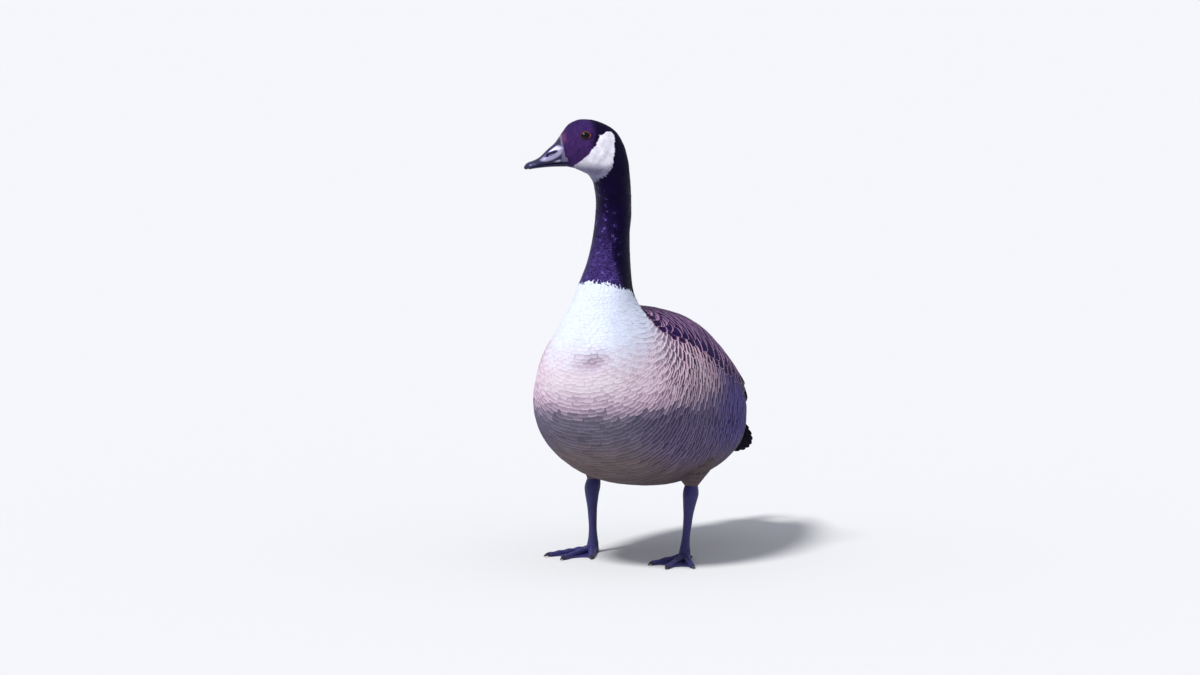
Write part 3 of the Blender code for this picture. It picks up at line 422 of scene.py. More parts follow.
class Markings:
    """The goose's colours, read at any place on its form."""

    black_below = 0.012
    BACK_PLACES = (0.0, 2.25, 3.4, 4.5, 5.55, 6.7, 7.3, 8.0, 9.0, 11.0)
    BACK_EDGE = (69.0, 67.5, 66.0, 61.5, 55.5, 52.5, 51.0, 47.0, 42.0, 36.0)
    NECKLACE_TURN = (0.0, 35.0, 60.0, 87.0, 118.0, 155.0, 180.0)
    NECKLACE_HEIGHT = (0.3400, 0.3450, 0.3560, 0.3670, 0.3740, 0.3800, 0.3810)
    SHADE_HEIGHT = (0.340, 0.375, 0.420, 0.500)
    SHADE_TURN = (80.0, 113.0, 147.0, 165.0)
    CHEEK = (
        (-12.7, 2.8), (-20.5, 6.6), (-29.4, 6.8), (-33.3, 1.0), (-31.6, -8.7), (-31.6, -17.4), (-29.4, -27.1),
        (-27.2, -36.8), (-21.6, -44.7), (-13.0, -52.0), (-9.5, -58.0), (6.0, -58.0), (19.8, -45.0),
        (20.6, -36.0), (11.8, -27.9), (5.1, -21.6), (-0.5, -14.2), (-7.1, -7.9), (-7.1, -4.6), (-9.4, -0.9),
    )

    def back_edge(self, place: Array) -> Array:
        """Turn, in degrees, at which the dark back meets the pale side feathers."""
        return np.interp(place, self.BACK_PLACES, self.BACK_EDGE)

    def necklace(self, turn: Array) -> Array:
        """Height at which the black neck begins."""
        aside = np.abs(np.degrees((turn + math.pi) % (2 * math.pi) - math.pi))
        return np.interp(aside, self.NECKLACE_TURN, self.NECKLACE_HEIGHT)

    def cheek(self, points: Array) -> Array:
        """1 inside the white cheek patch, read on the head's plane."""
        away = points - head_point(0, 0)
        u, w = away @ forward_of(HEAD_YAW) / MM, away[:, 2] / MM
        inside = np.zeros(len(points), bool)
        for (u0, w0), (u1, w1) in zip(self.CHEEK, self.CHEEK[1:] + self.CHEEK[:1]):
            crossed = (w0 > w) != (w1 > w)
            level = u0 + (w - w0) * (u1 - u0) / (w1 - w0 + 1e-9)
            inside ^= crossed & (u < level)
        return inside.astype(float)

    def body(self, place: Array, turn: Array, points: Array, ragged: Array) -> Paint:
        """Colours on the torso, neck and head.

        Args:
            place: Places along the form.
            turn: Turns about it.
            points: The same points in space.
            ragged: A random draw from -1 to 1 for each, for uneven borders.

        Returns:
            The paint of each point.
        """
        aside = np.abs(np.degrees((turn + math.pi) % (2 * math.pi) - math.pi))
        height = points[:, 2]
        paint = Paint.plain(len(place), Tint.WHITE, Tint.WHITE, 0.30)
        level = height + 0.006 * ragged
        rearward = smooth(9.6, 6.0, place + 0.3 * ragged)
        # The bands darken downward: partly the breast's and belly's own colours, partly painted shade under the body.
        paint.over(smooth(0.318, 0.252, level), Tint.CREAM, Tint.CREAM_EDGE, 0.22)
        paint.over(smooth(0.248, 0.220, level), Tint.MAUVE, Tint.MAUVE_EDGE, 0.18)
        paint.over(smooth(0.227, 0.200, level), Tint.SHADE, Tint.SHADE_EDGE, 0.14)
        paint.over(smooth(0.185, 0.140, level), Tint.BELLY, Tint.BELLY_EDGE, 0.16)
        side = smooth(160, 104, aside + 10 * ragged) * rearward * smooth(0.200, 0.226, level)
        paint.over(side * 0.85, Tint.MAUVE, Tint.FLANK_EDGE, 0.16)
        # Painted shade in the hollow of the breast's dimple, darkest at its middle.
        hollow = COVERED.dimple(place, turn % (2 * math.pi)) ** 0.6
        paint.over(0.92 * hollow, Tint.MAUVE, Tint.MAUVE_EDGE, 0.2)
        paint.over(0.3 * hollow * hollow, Tint.SHADE, Tint.SHADE_EDGE, 0.2)
        dark = smooth(106, 80, aside + 8 * ragged) * smooth(8.6, 6.0, place) * smooth(0.196, 0.226, level)
        paint.over(dark * (0.85 + 0.15 * ragged), Tint.FLANK, Tint.FLANK_EDGE, 0.15)
        # Painted shade over the lower flank, below the line where the light leaves the body.
        low = smooth(0.238, 0.202, level) * smooth(160, 120, aside) * smooth(8.2, 5.6, place)
        paint.over(low, Tint.FLANK_SHADED, Tint.FLANK_SHADED_EDGE, 0.13)
        # Darkest at the bottom of the belly: its own grey-brown with painted shade under the body.
        paint.over(smooth(0.150, 0.110, level) * 0.8, Tint.BELLY_DARK, Tint.BELLY, 0.2)
        paint.over(smooth(4.4, 2.8, place) * smooth(125, 100, aside), Tint.REAR, Tint.REAR_EDGE, 0.14)
        paint.over(smooth(1.4, 0.6, place) * smooth(118, 135, aside), Tint.WHITE, Tint.WHITE, 0.3)
        border = self.back_edge(place)
        back = smooth(border + 3, border - 3, aside + 2 * ragged) * (place < 10.2)
        shoulder = smooth(5.5, 8.5, place)
        paint.over(back, Tint.BACK, Tint.BACK_EDGE, 0.084)
        paint.over(back * shoulder * 0.55, Tint.FLANK, Tint.SHOULDER_EDGE, 0.15)
        rim = smooth(border - 10, border - 5, aside) * smooth(2.8, 3.6, place) * smooth(6.6, 5.8, place)
        paint.over(back * rim * 0.8, Tint.FLANK, Tint.SHOULDER_EDGE, 0.24)
        black = (height > self.necklace(turn) + 0.0022 * ragged) & (place > 8.3)
        paint.over(black.astype(float), Tint.NECK, Tint.NECK_EDGE, 0.2)
        cluster = np.sin(3.1 * place + 11 * turn) + np.sin(7.3 * place - 6 * turn + 1.7) + np.sin(17 * place + 15 * turn)
        glint = smooth(1.2, 3.0, cluster + ragged) * smooth(112, 140, aside) * smooth(21, 19, place)
        round_turn = np.degrees(turn % (2 * math.pi))
        shade = np.interp(height, self.SHADE_HEIGHT, self.SHADE_TURN)
        lit = smooth(shade - 8, shade + 14, round_turn) * smooth(275, 235, round_turn)
        lit = lit * np.interp(height, (0.36, 0.40, 0.44, 0.50), (1.0, 0.75, 0.4, 0.15)) * (0.75 + 0.25 * ragged)
        paint.over(smooth(0.385, 0.345, height) * lit * black * 0.5, Tint.FACE, Tint.MAUVE, 0.4)
        glint = np.maximum(glint, lit * 0.9)
        paint.over(glint * black, Tint.GLINT, Tint.GLINT_EDGE, 0.4)
        self._head(paint, points, ragged)
        return paint

    def _head(self, paint: Paint, points: Array, ragged: Array) -> None:
        """Lay the head's colours on."""
        away = points - head_point(0, 0)
        u, w = away @ forward_of(HEAD_YAW) / MM, away[:, 2] / MM
        crown = smooth(-2, 8, w) * smooth(-10, 1, u)
        paint.over(crown, Tint.CROWN, Tint.FACE_EDGE, 0.3)
        face = smooth(-8, 4, u + 1.5 * ragged) * smooth(14, 2, w) * (w > -46)
        paint.over(face, Tint.FACE, Tint.FACE_EDGE, 0.3)
        # Painted reddish highlight along the forehead at the bill's base.
        brow_highlight = smooth(28, 37, u) * smooth(-12, -4, w) * smooth(14, 4, w)
        paint.over(brow_highlight * 0.6, Tint.BROW_HIGHLIGHT, Tint.BROW_HIGHLIGHT, 0.3)
        patch = self.cheek(points + ragged[:, None] * forward_of(HEAD_YAW) * 0.0005)
        paint.over(patch, Tint.CHEEK, Tint.CHEEK, 0.3)
        # Painted shade on the cheek patch's lower part, under the head.
        paint.over(patch * smooth(-28, -42, w), Tint.CHIN_SHADE, Tint.CHIN_SHADE, 0.3)


MARKINGS = Markings()


class Sketch:
    """Adds and joins nodes in one node tree."""

    def __init__(self, tree: bpy.types.NodeTree) -> None:
        """Take the tree to work in."""
        self.tree = tree

    def add(self, kind: str, sockets: dict | None = None, **settings: object) -> bpy.types.Node:
        """Add a node.

        Args:
            kind: The node's type name.
            sockets: A value or a source socket for each input, by name or number.
            settings: The node's own properties.

        Returns:
            The new node.
        """
        node = self.tree.nodes.new(kind)
        for name, value in settings.items():
            setattr(node, name, value)
        for key, value in (sockets or {}).items():
            if isinstance(value, bpy.types.NodeSocket):
                self.tree.links.new(value, node.inputs[key])
            else:
                node.inputs[key].default_value = value
        return node

    def math(self, operation: str, *values: object, clamp: bool = False) -> bpy.types.NodeSocket:
        """The output of a Math node on one to three values."""
        node = self.add("ShaderNodeMath", dict(enumerate(values)), operation=operation, use_clamp=clamp)
        return node.outputs[0]

    def mix(self, factor: object, first: object, second: object, blend: str = "MIX") -> bpy.types.NodeSocket:
        """The output of a colour mix."""
        node = self.add(
            "ShaderNodeMix", {0: factor, 6: first, 7: second}, data_type="RGBA", blend_type=blend
        )
        return node.outputs[2]

    def ramp(self, value: object, low: float, high: float) -> bpy.types.NodeSocket:
        """Ease a value from 0 at low to 1 at high."""
        node = self.add(
            "ShaderNodeMapRange", {0: value, 1: low, 2: high}, interpolation_type="SMOOTHSTEP"
        )
        return node.outputs[0]

    def noise(self, vector: object, scale: float, detail: float = 3.0) -> bpy.types.NodeSocket:
        """A noise value over the surface."""
        node = self.add("ShaderNodeTexNoise", {"Vector": vector, "Scale": scale, "Detail": detail})
        return node.outputs["Fac"]


def new_group(name: str, inputs: dict, outputs: dict) -> tuple[Sketch, bpy.types.Node, bpy.types.Node]:
    """A shader node group with named sockets.

    Args:
        name: The group's name.
        inputs: Default value of each input; a tuple makes a vector or colour input.
        outputs: Socket type of each output.

    Returns:
        The sketch of its tree, its input node and its output node.
    """
    tree = bpy.data.node_groups.new(name, "ShaderNodeTree")
    for label, value in inputs.items():
        kind = {float: "NodeSocketFloat", tuple: "NodeSocketVector"}[type(value)]
        socket = tree.interface.new_socket(label, in_out="INPUT", socket_type=kind)
        socket.default_value = value
    for label, kind in outputs.items():
        tree.interface.new_socket(label, in_out="OUTPUT", socket_type=kind)
    sketch = Sketch(tree)
    return sketch, sketch.add("NodeGroupInput"), sketch.add("NodeGroupOutput")


def barb_group() -> bpy.types.NodeTree:
    """Fine slanting barbs either side of a feather's shaft."""
    sketch, given, result = new_group(
        "Barbs",
        {"Across": 0.5, "Along": 0.5, "Count": 60.0, "Slant": 0.5},
        {"Height": "NodeSocketFloat", "Shaft": "NodeSocketFloat"},
    )
    aside = sketch.math("ABSOLUTE", sketch.math("SUBTRACT", given.outputs["Across"], 0.5))
    slanted = sketch.math("MULTIPLY", aside, given.outputs["Slant"])
    line = sketch.math("SUBTRACT", given.outputs["Along"], slanted)
    wave = sketch.math("SINE", sketch.math("MULTIPLY", line, sketch.math("MULTIPLY", given.outputs["Count"], 6.2832)))
    height = sketch.math("MULTIPLY_ADD", wave, 0.5, 0.5)
    shaft = sketch.math("SUBTRACT", 1.0, sketch.ramp(aside, 0.012, 0.035))
    sketch.tree.links.new(height, result.inputs["Height"])
    sketch.tree.links.new(shaft, result.inputs["Shaft"])
    return sketch.tree


def fringe_group() -> bpy.types.NodeTree:
    """Mask of a feather's pale edge, round its tip and along its sides."""
    sketch, given, result = new_group(
        "Fringe",
        {"Across": 0.5, "Along": 0.5, "Share": 0.2, "Waver": 0.0, "Aspect": 2.6},
        {"Mask": "NodeSocketFloat"},
    )
    aside = sketch.math("MULTIPLY", sketch.math("ABSOLUTE", sketch.math("SUBTRACT", given.outputs["Across"], 0.5)), 2.0)
    tip = sketch.math("SUBTRACT", 1.0, given.outputs["Along"])
    edge = sketch.math("MULTIPLY", sketch.math("SUBTRACT", 1.0, aside), given.outputs["Aspect"])
    near = sketch.math("SMOOTH_MIN", tip, edge, 0.06)
    share = given.outputs["Share"]
    near = sketch.math("MULTIPLY_ADD", given.outputs["Waver"], share, near)
    start = sketch.math("MULTIPLY", share, 1.35)
    end = sketch.math("MULTIPLY", share, 0.40)
    node = sketch.add("ShaderNodeMapRange", {0: near, 1: end, 2: start, 3: 1.0, 4: 0.0})
    sketch.tree.links.new(node.outputs[0], result.inputs["Mask"])
    return sketch.tree


def mottle_group() -> bpy.types.NodeTree:
    """Slight uneven light and dark over a surface, as a factor about 1."""
    sketch, given, result = new_group(
        "Mottle",
        {"Vector": (0.0, 0.0, 0.0), "Scale": 40.0, "Amount": 0.1},
        {"Factor": "NodeSocketFloat"},
    )
    node = sketch.add(
        "ShaderNodeTexNoise",
        {"Vector": given.outputs["Vector"], "Scale": given.outputs["Scale"], "Detail": 4.0},
    )
    spread = sketch.math("MULTIPLY", sketch.math("SUBTRACT", node.outputs["Fac"], 0.5), 2.0)
    factor = sketch.math("MULTIPLY_ADD", spread, given.outputs["Amount"], 1.0)
    sketch.tree.links.new(factor, result.inputs["Factor"])
    return sketch.tree


def scale_group() -> bpy.types.NodeTree:
    """Small rounded scales with dark furrows between them."""
    sketch, given, result = new_group(
        "Scales",
        {"Vector": (0.0, 0.0, 0.0), "Scale": 300.0},
        {"Height": "NodeSocketFloat", "Furrow": "NodeSocketFloat"},
    )
    node = sketch.add(
        "ShaderNodeTexVoronoi",
        {"Vector": given.outputs["Vector"], "Scale": given.outputs["Scale"]},
        feature="DISTANCE_TO_EDGE",
    )
    height = sketch.ramp(node.outputs["Distance"], 0.0, 0.22)
    furrow = sketch.math("SUBTRACT", 1.0, sketch.ramp(node.outputs["Distance"], 0.0, 0.08))
    sketch.tree.links.new(height, result.inputs["Height"])
    sketch.tree.links.new(furrow, result.inputs["Furrow"])
    return sketch.tree


class Effects:
    """The shader groups, each built once."""

    def __init__(self) -> None:
        """Build the groups."""
        self.barbs = barb_group()
        self.fringe = fringe_group()
        self.mottle = mottle_group()
        self.scales = scale_group()


def place_group(sketch: Sketch, group: bpy.types.NodeTree, sockets: dict) -> bpy.types.Node:
    """Place a node group with its values."""
    node = sketch.add("ShaderNodeGroup", node_tree=group)
    for key, value in sockets.items():
        if isinstance(value, bpy.types.NodeSocket):
            sketch.tree.links.new(value, node.inputs[key])
        else:
            node.inputs[key].default_value = value
    return node


@dataclass(frozen=True)
class Finish:
    """A Principled finish; its uniform numbers sit on the shader's own sockets."""

    name: str
    colour: Colour = (0.5, 0.5, 0.5, 1.0)
    roughness: float = 0.7
    specular: float = 0.5
    coat: float = 0.0
    coat_roughness: float = 0.1
    sheen: float = 0.0
    sheen_tint: Colour = (1.0, 1.0, 1.0, 1.0)
    specular_tint: Colour = (1.0, 1.0, 1.0, 1.0)

    def start(self) -> tuple[bpy.types.Material, Sketch, bpy.types.Node]:
        """A material with its uniform values set.

        Returns:
            The material, the sketch of its tree and its Principled node.
        """
        material = bpy.data.materials.new(self.name)
        material.use_nodes = True
        shader = material.node_tree.nodes["Principled BSDF"]
        shader.inputs["Base Color"].default_value = self.colour
        shader.inputs["Roughness"].default_value = self.roughness
        shader.inputs["Specular IOR Level"].default_value = self.specular
        shader.inputs["Coat Weight"].default_value = self.coat
        shader.inputs["Coat Roughness"].default_value = self.coat_roughness
        shader.inputs["Sheen Weight"].default_value = self.sheen
        shader.inputs["Sheen Tint"].default_value = self.sheen_tint
        shader.inputs["Specular Tint"].default_value = self.specular_tint
        return material, Sketch(material.node_tree), shader


def bump_into(sketch: Sketch, shader: bpy.types.Node, height: object, strength: float, depth: float) -> None:
    """Feed a height to the shader's normal through a Bump node."""
    node = sketch.add("ShaderNodeBump", {"Strength": strength, "Distance": depth, "Height": height})
    sketch.tree.links.new(node.outputs["Normal"], shader.inputs["Normal"])


@dataclass(frozen=True)
class PlumageFinish(Finish):
    """Feathers: a middle and an edge colour on each, with barbs and a shaft."""

    barbs: float = 46.0
    slant: float = 0.5
    depth: float = 0.00025
    mottle: float = 0.10
    mottle_scale: float = 55.0
    shaft: float = 0.05
    gloss: float = 0.24
    gloss_scale: float = 300.0
    aspect: float = 2.6

    def make(self, effects: Effects) -> bpy.types.Material:
        """Build the material."""
        material, sketch, shader = self.start()
        uv = sketch.add("ShaderNodeUVMap", uv_map="Vane")
        parts = sketch.add("ShaderNodeSeparateXYZ", {0: uv.outputs["UV"]})
        across, along = parts.outputs["X"], parts.outputs["Y"]
        ground = sketch.add("ShaderNodeAttribute", attribute_name="Ground").outputs["Color"]
        edge = sketch.add("ShaderNodeAttribute", attribute_name="Edge").outputs["Color"]
        share = sketch.add("ShaderNodeAttribute", attribute_name="Fringe").outputs["Fac"]
        tone = sketch.add("ShaderNodeAttribute", attribute_name="Tone").outputs["Fac"]
        place = sketch.add("ShaderNodeTexCoord").outputs["Object"]
        waver = sketch.math("MULTIPLY", sketch.math("SUBTRACT", sketch.noise(place, 420.0), 0.5), 0.6)
        edges = {"Across": across, "Along": along, "Share": share, "Waver": waver, "Aspect": self.aspect}
        fringe = place_group(sketch, effects.fringe, edges).outputs["Mask"]
        barbs = place_group(
            sketch, effects.barbs, {"Across": across, "Along": along, "Count": self.barbs, "Slant": self.slant}
        )
        colour = sketch.mix(fringe, ground, edge)
        shaft = sketch.math("MULTIPLY", barbs.outputs["Shaft"], self.shaft)
        colour = sketch.mix(shaft, colour, edge)
        mottle = place_group(
            sketch, effects.mottle, {"Vector": place, "Scale": self.mottle_scale, "Amount": self.mottle}
        ).outputs["Factor"]
        streak = sketch.math("MULTIPLY_ADD", barbs.outputs["Height"], 0.10, 0.95)
        shade = sketch.math("MULTIPLY", mottle, sketch.math("MULTIPLY", streak, tone))
        toned = sketch.add("ShaderNodeVectorMath", {0: colour}, operation="SCALE")
        sketch.tree.links.new(shade, toned.inputs["Scale"])
        sketch.tree.links.new(toned.outputs[0], shader.inputs["Base Color"])
        dull = sketch.math("MULTIPLY_ADD", sketch.noise(place, self.gloss_scale), self.gloss, self.roughness - self.gloss / 2)
        sketch.tree.links.new(dull, shader.inputs["Roughness"])
        bump_into(sketch, shader, barbs.outputs["Height"], 0.6, self.depth)
        return material


@dataclass(frozen=True)
class SkinFinish(Finish):
    """The skin under the feathers, with the same markings and a fine down."""

    def make(self, effects: Effects) -> bpy.types.Material:
        """Build the material."""
        material, sketch, shader = self.start()
        ground = sketch.add("ShaderNodeAttribute", attribute_name="Ground").outputs["Color"]
        place = sketch.add("ShaderNodeTexCoord").outputs["Object"]
        mottle = place_group(sketch, effects.mottle, {"Vector": place, "Scale": 260.0, "Amount": 0.35})
        toned = sketch.add("ShaderNodeVectorMath", {0: ground}, operation="SCALE")
        sketch.tree.links.new(mottle.outputs["Factor"], toned.inputs["Scale"])
        sketch.tree.links.new(toned.outputs[0], shader.inputs["Base Color"])
        bump_into(sketch, shader, sketch.noise(place, 900.0), 0.5, 0.0004)
        return material


def set_points(mesh: bpy.types.Mesh, points: Array, triangles: Array) -> None:
    """Fill a mesh from arrays of points and triangles."""
    mesh.vertices.add(len(points))
    mesh.vertices.foreach_set("co", np.ascontiguousarray(points, np.float32).ravel())
    mesh.loops.add(triangles.size)
    mesh.loops.foreach_set("vertex_index", np.ascontiguousarray(triangles, np.int32).ravel())
    mesh.polygons.add(len(triangles))
    mesh.polygons.foreach_set("loop_start", np.arange(0, triangles.size, 3, dtype=np.int32))
    mesh.update(calc_edges=True)


def store(mesh: bpy.types.Mesh, name: str, kind: str, values: Array, domain: str = "POINT") -> None:
    """Store a named attribute on a mesh."""
    made = mesh.attributes.new(name, kind, domain)
    label = {"FLOAT": "value", "FLOAT_COLOR": "color", "FLOAT_VECTOR": "vector", "FLOAT2": "vector"}[kind]
    made.data.foreach_set(label, np.ascontiguousarray(values, np.float32).ravel())


def corner_uv(mesh: bpy.types.Mesh, name: str, per_point: Array) -> None:
    """A UV map whose corners take the values of their points."""
    corners = np.empty(len(mesh.loops), np.int32)
    mesh.loops.foreach_get("vertex_index", corners)
    layer = mesh.uv_layers.new(name=name)
    layer.uv.foreach_set("vector", np.ascontiguousarray(per_point[corners], np.float32).ravel())


def link_mesh(name: str, mesh: bpy.types.Mesh, sharp: float | None = 50.0) -> bpy.types.Object:
    """An object for a mesh, shaded smooth with its sharp edges kept."""
    mesh.shade_smooth()
    if sharp is not None:
        mesh.set_sharp_from_angle(angle=math.radians(sharp))
    made = bpy.data.objects.new(name, mesh)
    bpy.context.scene.collection.objects.link(made)
    return made


def loft_faces(rings: int, segments: int, capped: bool = True) -> Array:
    """Triangles of a loft through equal rings, with fans over its ends."""
    i, j = np.meshgrid(np.arange(rings - 1), np.arange(segments), indexing="ij")
    a, b = i * segments + j, i * segments + (j + 1) % segments
    c, d = b + segments, a + segments
    sides = np.concatenate([np.stack([a, b, c], -1), np.stack([a, c, d], -1)]).reshape(-1, 3)
    if not capped:
        return sides
    fan = np.arange(1, segments - 1)
    low = np.stack([np.zeros_like(fan), fan + 1, fan], -1)
    top = (rings - 1) * segments
    high = np.stack([np.full_like(fan, top), top + fan, top + fan + 1], -1)
    return np.concatenate([sides, low, high])


def outward(points: Array, triangles: Array) -> Array:
    """Triangles turned so that a closed mesh faces out."""
    a, b, c = (points[triangles[:, k]] for k in range(3))
    if np.sum(a * np.cross(b, c)) < 0:
        return triangles[:, ::-1]
    return triangles


def loft_mesh(name: str, rings: Array, sharp: float | None = None) -> bpy.types.Object:
    """A closed loft as an object, moved to where the solids stand."""
    points = np.asarray(rings, float).reshape(-1, 3) + SHIFT
    triangles = outward(points, loft_faces(len(rings), len(rings[0])))
    mesh = bpy.data.meshes.new(name)
    set_points(mesh, points, triangles)
    return link_mesh(name, mesh, sharp)


def fuse(target: bpy.types.Object, others: Sequence[bpy.types.Object], operation: str = "UNION") -> None:
    """Join or cut closed meshes in one Boolean, and remove the others."""
    group = bpy.data.collections.new("pieces")
    bpy.context.scene.collection.children.link(group)
    for other in others:
        bpy.context.scene.collection.objects.unlink(other)
        group.objects.link(other)
    modifier = target.modifiers.new("join", "BOOLEAN")
    modifier.operation, modifier.solver = operation, "MANIFOLD"
    modifier.operand_type, modifier.collection = "COLLECTION", group
    bake(target)
    for other in list(group.objects):
        bpy.data.objects.remove(other, do_unlink=True)
    bpy.data.collections.remove(group)


def bake(target: bpy.types.Object) -> None:
    """Turn an object's modifiers into its plain mesh."""
    bpy.context.view_layer.update()
    graph = bpy.context.evaluated_depsgraph_get()
    result = bpy.data.meshes.new_from_object(target.evaluated_get(graph))
    target.modifiers.clear()
    old, target.data = target.data, result
    bpy.data.meshes.remove(old)


def hand_over(piece: bpy.types.Object, slot: str, *nodes: str) -> None:
    """Ride a finished piece on the bird, hide the solids that it stands for, and log its triangles."""
    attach(piece, "root")
    if nodes:
        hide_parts(*nodes)
    piece.data.calc_loop_triangles()
    LOG.info("%s: %d triangles", piece.name, len(piece.data.loop_triangles))


@dataclass(frozen=True)
class VaneMold:
    """The pattern that every feather of one kind is pressed in.

    A vane has an arched face over a shallow keel. Its tip breaks into one barb point for each column.
    """

    columns: int = 6
    rows: int = 5
    along: tuple = (0.0, 0.3, 0.6, 0.85, 1.0)
    widths: tuple = (0.45, 0.86, 1.0, 0.97, 0.86)
    rounding: float = 0.20
    power: float = 2.4
    arch: float = 0.00035
    points_from: float = 0.92
    point_reach: float = 0.07
    back_depth: float = 0.00012

    def pattern(self) -> tuple[Array, Array, Array, Array]:
        """Along, across, how freely it reaches and how low it lies, of each point of the vane."""
        v, s = np.meshgrid(
            np.linspace(0, 1, self.rows + 1) ** 0.9, np.linspace(-1, 1, self.columns + 1), indexing="ij"
        )
        v = v * self.points_from
        middle = (np.linspace(-1, 1, self.columns + 1)[:-1] + np.linspace(-1, 1, self.columns + 1)[1:]) / 2
        tips = np.full(self.columns, 1.0)
        base = np.full(self.columns, self.points_from)
        along = np.concatenate([v.ravel(), tips, base, v[:, 0]])
        across = np.concatenate([s.ravel(), middle, middle, np.zeros(self.rows + 1)])
        free = np.zeros(len(along))
        free[v.size : v.size + self.columns] = 1
        low = np.concatenate([np.zeros(v.size), np.full(self.columns, 0.5), np.ones(self.columns + self.rows + 1)])
        return along, across, free, low

    def faces(self) -> Array:
        """Triangles of the closed vane."""
        wide, high = self.columns + 1, self.rows + 1
        keel = high * wide + 2 * self.columns
        found = []
        for i in range(self.rows):
            for j in range(self.columns):
                a = i * wide + j
                found += [(a, a + 1, a + wide + 1), (a, a + wide + 1, a + wide)]
            left, right, below = i * wide, i * wide + self.columns, keel + i
            found += [(left, left + wide, below + 1), (left, below + 1, below)]
            found += [(below, below + 1, right + wide), (below, right + wide, right)]
        found += [(keel, j + 1, j) for j in range(self.columns)]
        last, tip, back = self.rows * wide, high * wide, high * wide + self.columns
        rim = []
        for j in range(self.columns):
            a, b = last + j, last + j + 1
            found += [(a, b, tip + j), (b, back + j, tip + j), (back + j, a, tip + j)]
            rim += [a, back + j]
        rim.append(last + self.columns)
        found += [(keel + self.rows, rim[k], rim[k + 1]) for k in range(len(rim) - 1)]
        return np.array(found, np.int64)[:, ::-1]

    def width(self, along: Array) -> Array:
        """Share of the half width at points along the vane."""
        return np.interp(along, self.along, self.widths)


@dataclass
class Lay:
    """Where many feathers lie: roots and tips on a form, sizes, heights and paint."""

    root: Array
    tip: Array
    half: Array
    low: Array
    high: Array
    tilt: Array
    paint: Paint
    tone: Array
    home: Array

    def picked(self, keep: Array) -> "Lay":
        """The feathers that a mask keeps."""
        paint = Paint(self.paint.ground[keep], self.paint.edge[keep], self.paint.fringe[keep])
        rows = (self.root, self.tip, self.half, self.low, self.high, self.tilt)
        return Lay(*(values[keep] for values in rows), paint, self.tone[keep], self.home[keep])


CONTOUR = VaneMold(
    rounding=0.09, power=3.5, arch=0.0001, points_from=0.965, point_reach=0.025, widths=(0.5, 0.9, 1.0, 0.98, 0.9)
)


def slopes(form: Form, place: Array, turn: Array) -> tuple[Array, Array]:
    """How points move with the place and with the turn."""
    step = 0.015
    along = (form.point(place + step, turn) - form.point(place - step, turn)) / (2 * step)
    around = (form.point(place, turn + step) - form.point(place, turn - step)) / (2 * step)
    return along, around


def walk(form: Form, place: Array, turn: Array, way: Array) -> tuple[Array, Array]:
    """Change of place and turn that moves a surface point by a small vector."""
    along, around = slopes(form, place, turn)
    aa, ab = np.sum(along * along, -1), np.sum(along * around, -1)
    bb = np.sum(around * around, -1)
    ya, yb = np.sum(way * along, -1), np.sum(way * around, -1)
    scale = np.maximum(aa * bb - ab * ab, 1e-16)
    return (bb * ya - ab * yb) / scale, (aa * yb - ab * ya) / scale


class Feathering:
    """Presses feathers onto a form and gathers them into one piece."""

    def __init__(self, form: Form, mold: VaneMold, rng: np.random.Generator) -> None:
        """Take the form, the mold and the source of random draws."""
        self.form, self.mold, self.rng = form, mold, rng

    def points(self, lay: Lay) -> Array:
        """Points of every feather, by feather."""
        mold = self.mold
        along, across, free, low = mold.pattern()
        count = len(lay.half)
        ends = 1 - mold.rounding * np.abs(across) ** mold.power
        reach = along * ends + free * mold.point_reach * self.rng.uniform(-0.9, 0.9, (count, len(along)))
        place = lay.root[:, 0:1] + (lay.tip - lay.root)[:, 0:1] * reach
        turn = lay.root[:, 1:2] + (lay.tip - lay.root)[:, 1:2] * reach
        ahead_place, ahead_turn = (lay.tip - lay.root)[:, 0:1], (lay.tip - lay.root)[:, 1:2]
        s_along, s_around = slopes(self.form, place, turn)
        onward = unit(s_along * ahead_place[..., None] + s_around * ahead_turn[..., None])
        normal = self.form.normal(place, turn)
        lateral = np.cross(normal, onward)
        aside = (lay.half[:, None] * mold.width(along) * across)[..., None] * lateral
        d_place, d_turn = walk(self.form, place, turn, aside)
        height = lay.low[:, None] + (lay.high - lay.low)[:, None] * along
        height = height + lay.tilt[:, None] * across + mold.arch * (1 - across * across)
        height = height - low * mold.back_depth
        return self.form.raised(place + d_place, turn + d_turn, height)

    def piece(self, name: str, lay: Lay, material: bpy.types.Material) -> bpy.types.Object:
        """One mesh of all the feathers, with their colours and both UV maps."""
        points = self.points(lay)
        return gather(name, points, self.mold, lay, material)


def gather(
    name: str, points: Array, mold: VaneMold, lay: Lay, material: bpy.types.Material
) -> bpy.types.Object:
    """Join pressed feathers into one object.

    Args:
        name: The piece's name.
        points: Points by feather.
        mold: The mold they were pressed in.
        lay: Their paint and homes.
        material: Their finish.

    Returns:
        The new object.
    """
    count, each = points.shape[:2]
    faces = (mold.faces()[None] + np.arange(count)[:, None, None] * each).reshape(-1, 3)
    mesh = bpy.data.meshes.new(name)
    set_points(mesh, points.reshape(-1, 3) + SHIFT, faces)
    along, across, _, _ = mold.pattern()
    local = np.stack([(across + 1) / 2, along], -1)
    corner_uv(mesh, "Vane", np.tile(local, (count, 1)))
    corner_uv(mesh, "OFBake", (lay.home[:, None, :] + (local[None] - 0.5) * 0.003).reshape(-1, 2))
    store(mesh, "Ground", "FLOAT_COLOR", np.repeat(lay.paint.ground, each, 0))
    store(mesh, "Edge", "FLOAT_COLOR", np.repeat(lay.paint.edge, each, 0))
    store(mesh, "Fringe", "FLOAT", np.repeat(lay.paint.fringe, each))
    store(mesh, "Tone", "FLOAT", np.repeat(lay.tone, each))
    mesh.materials.append(material)
    return link_mesh(name, mesh, 40.0)


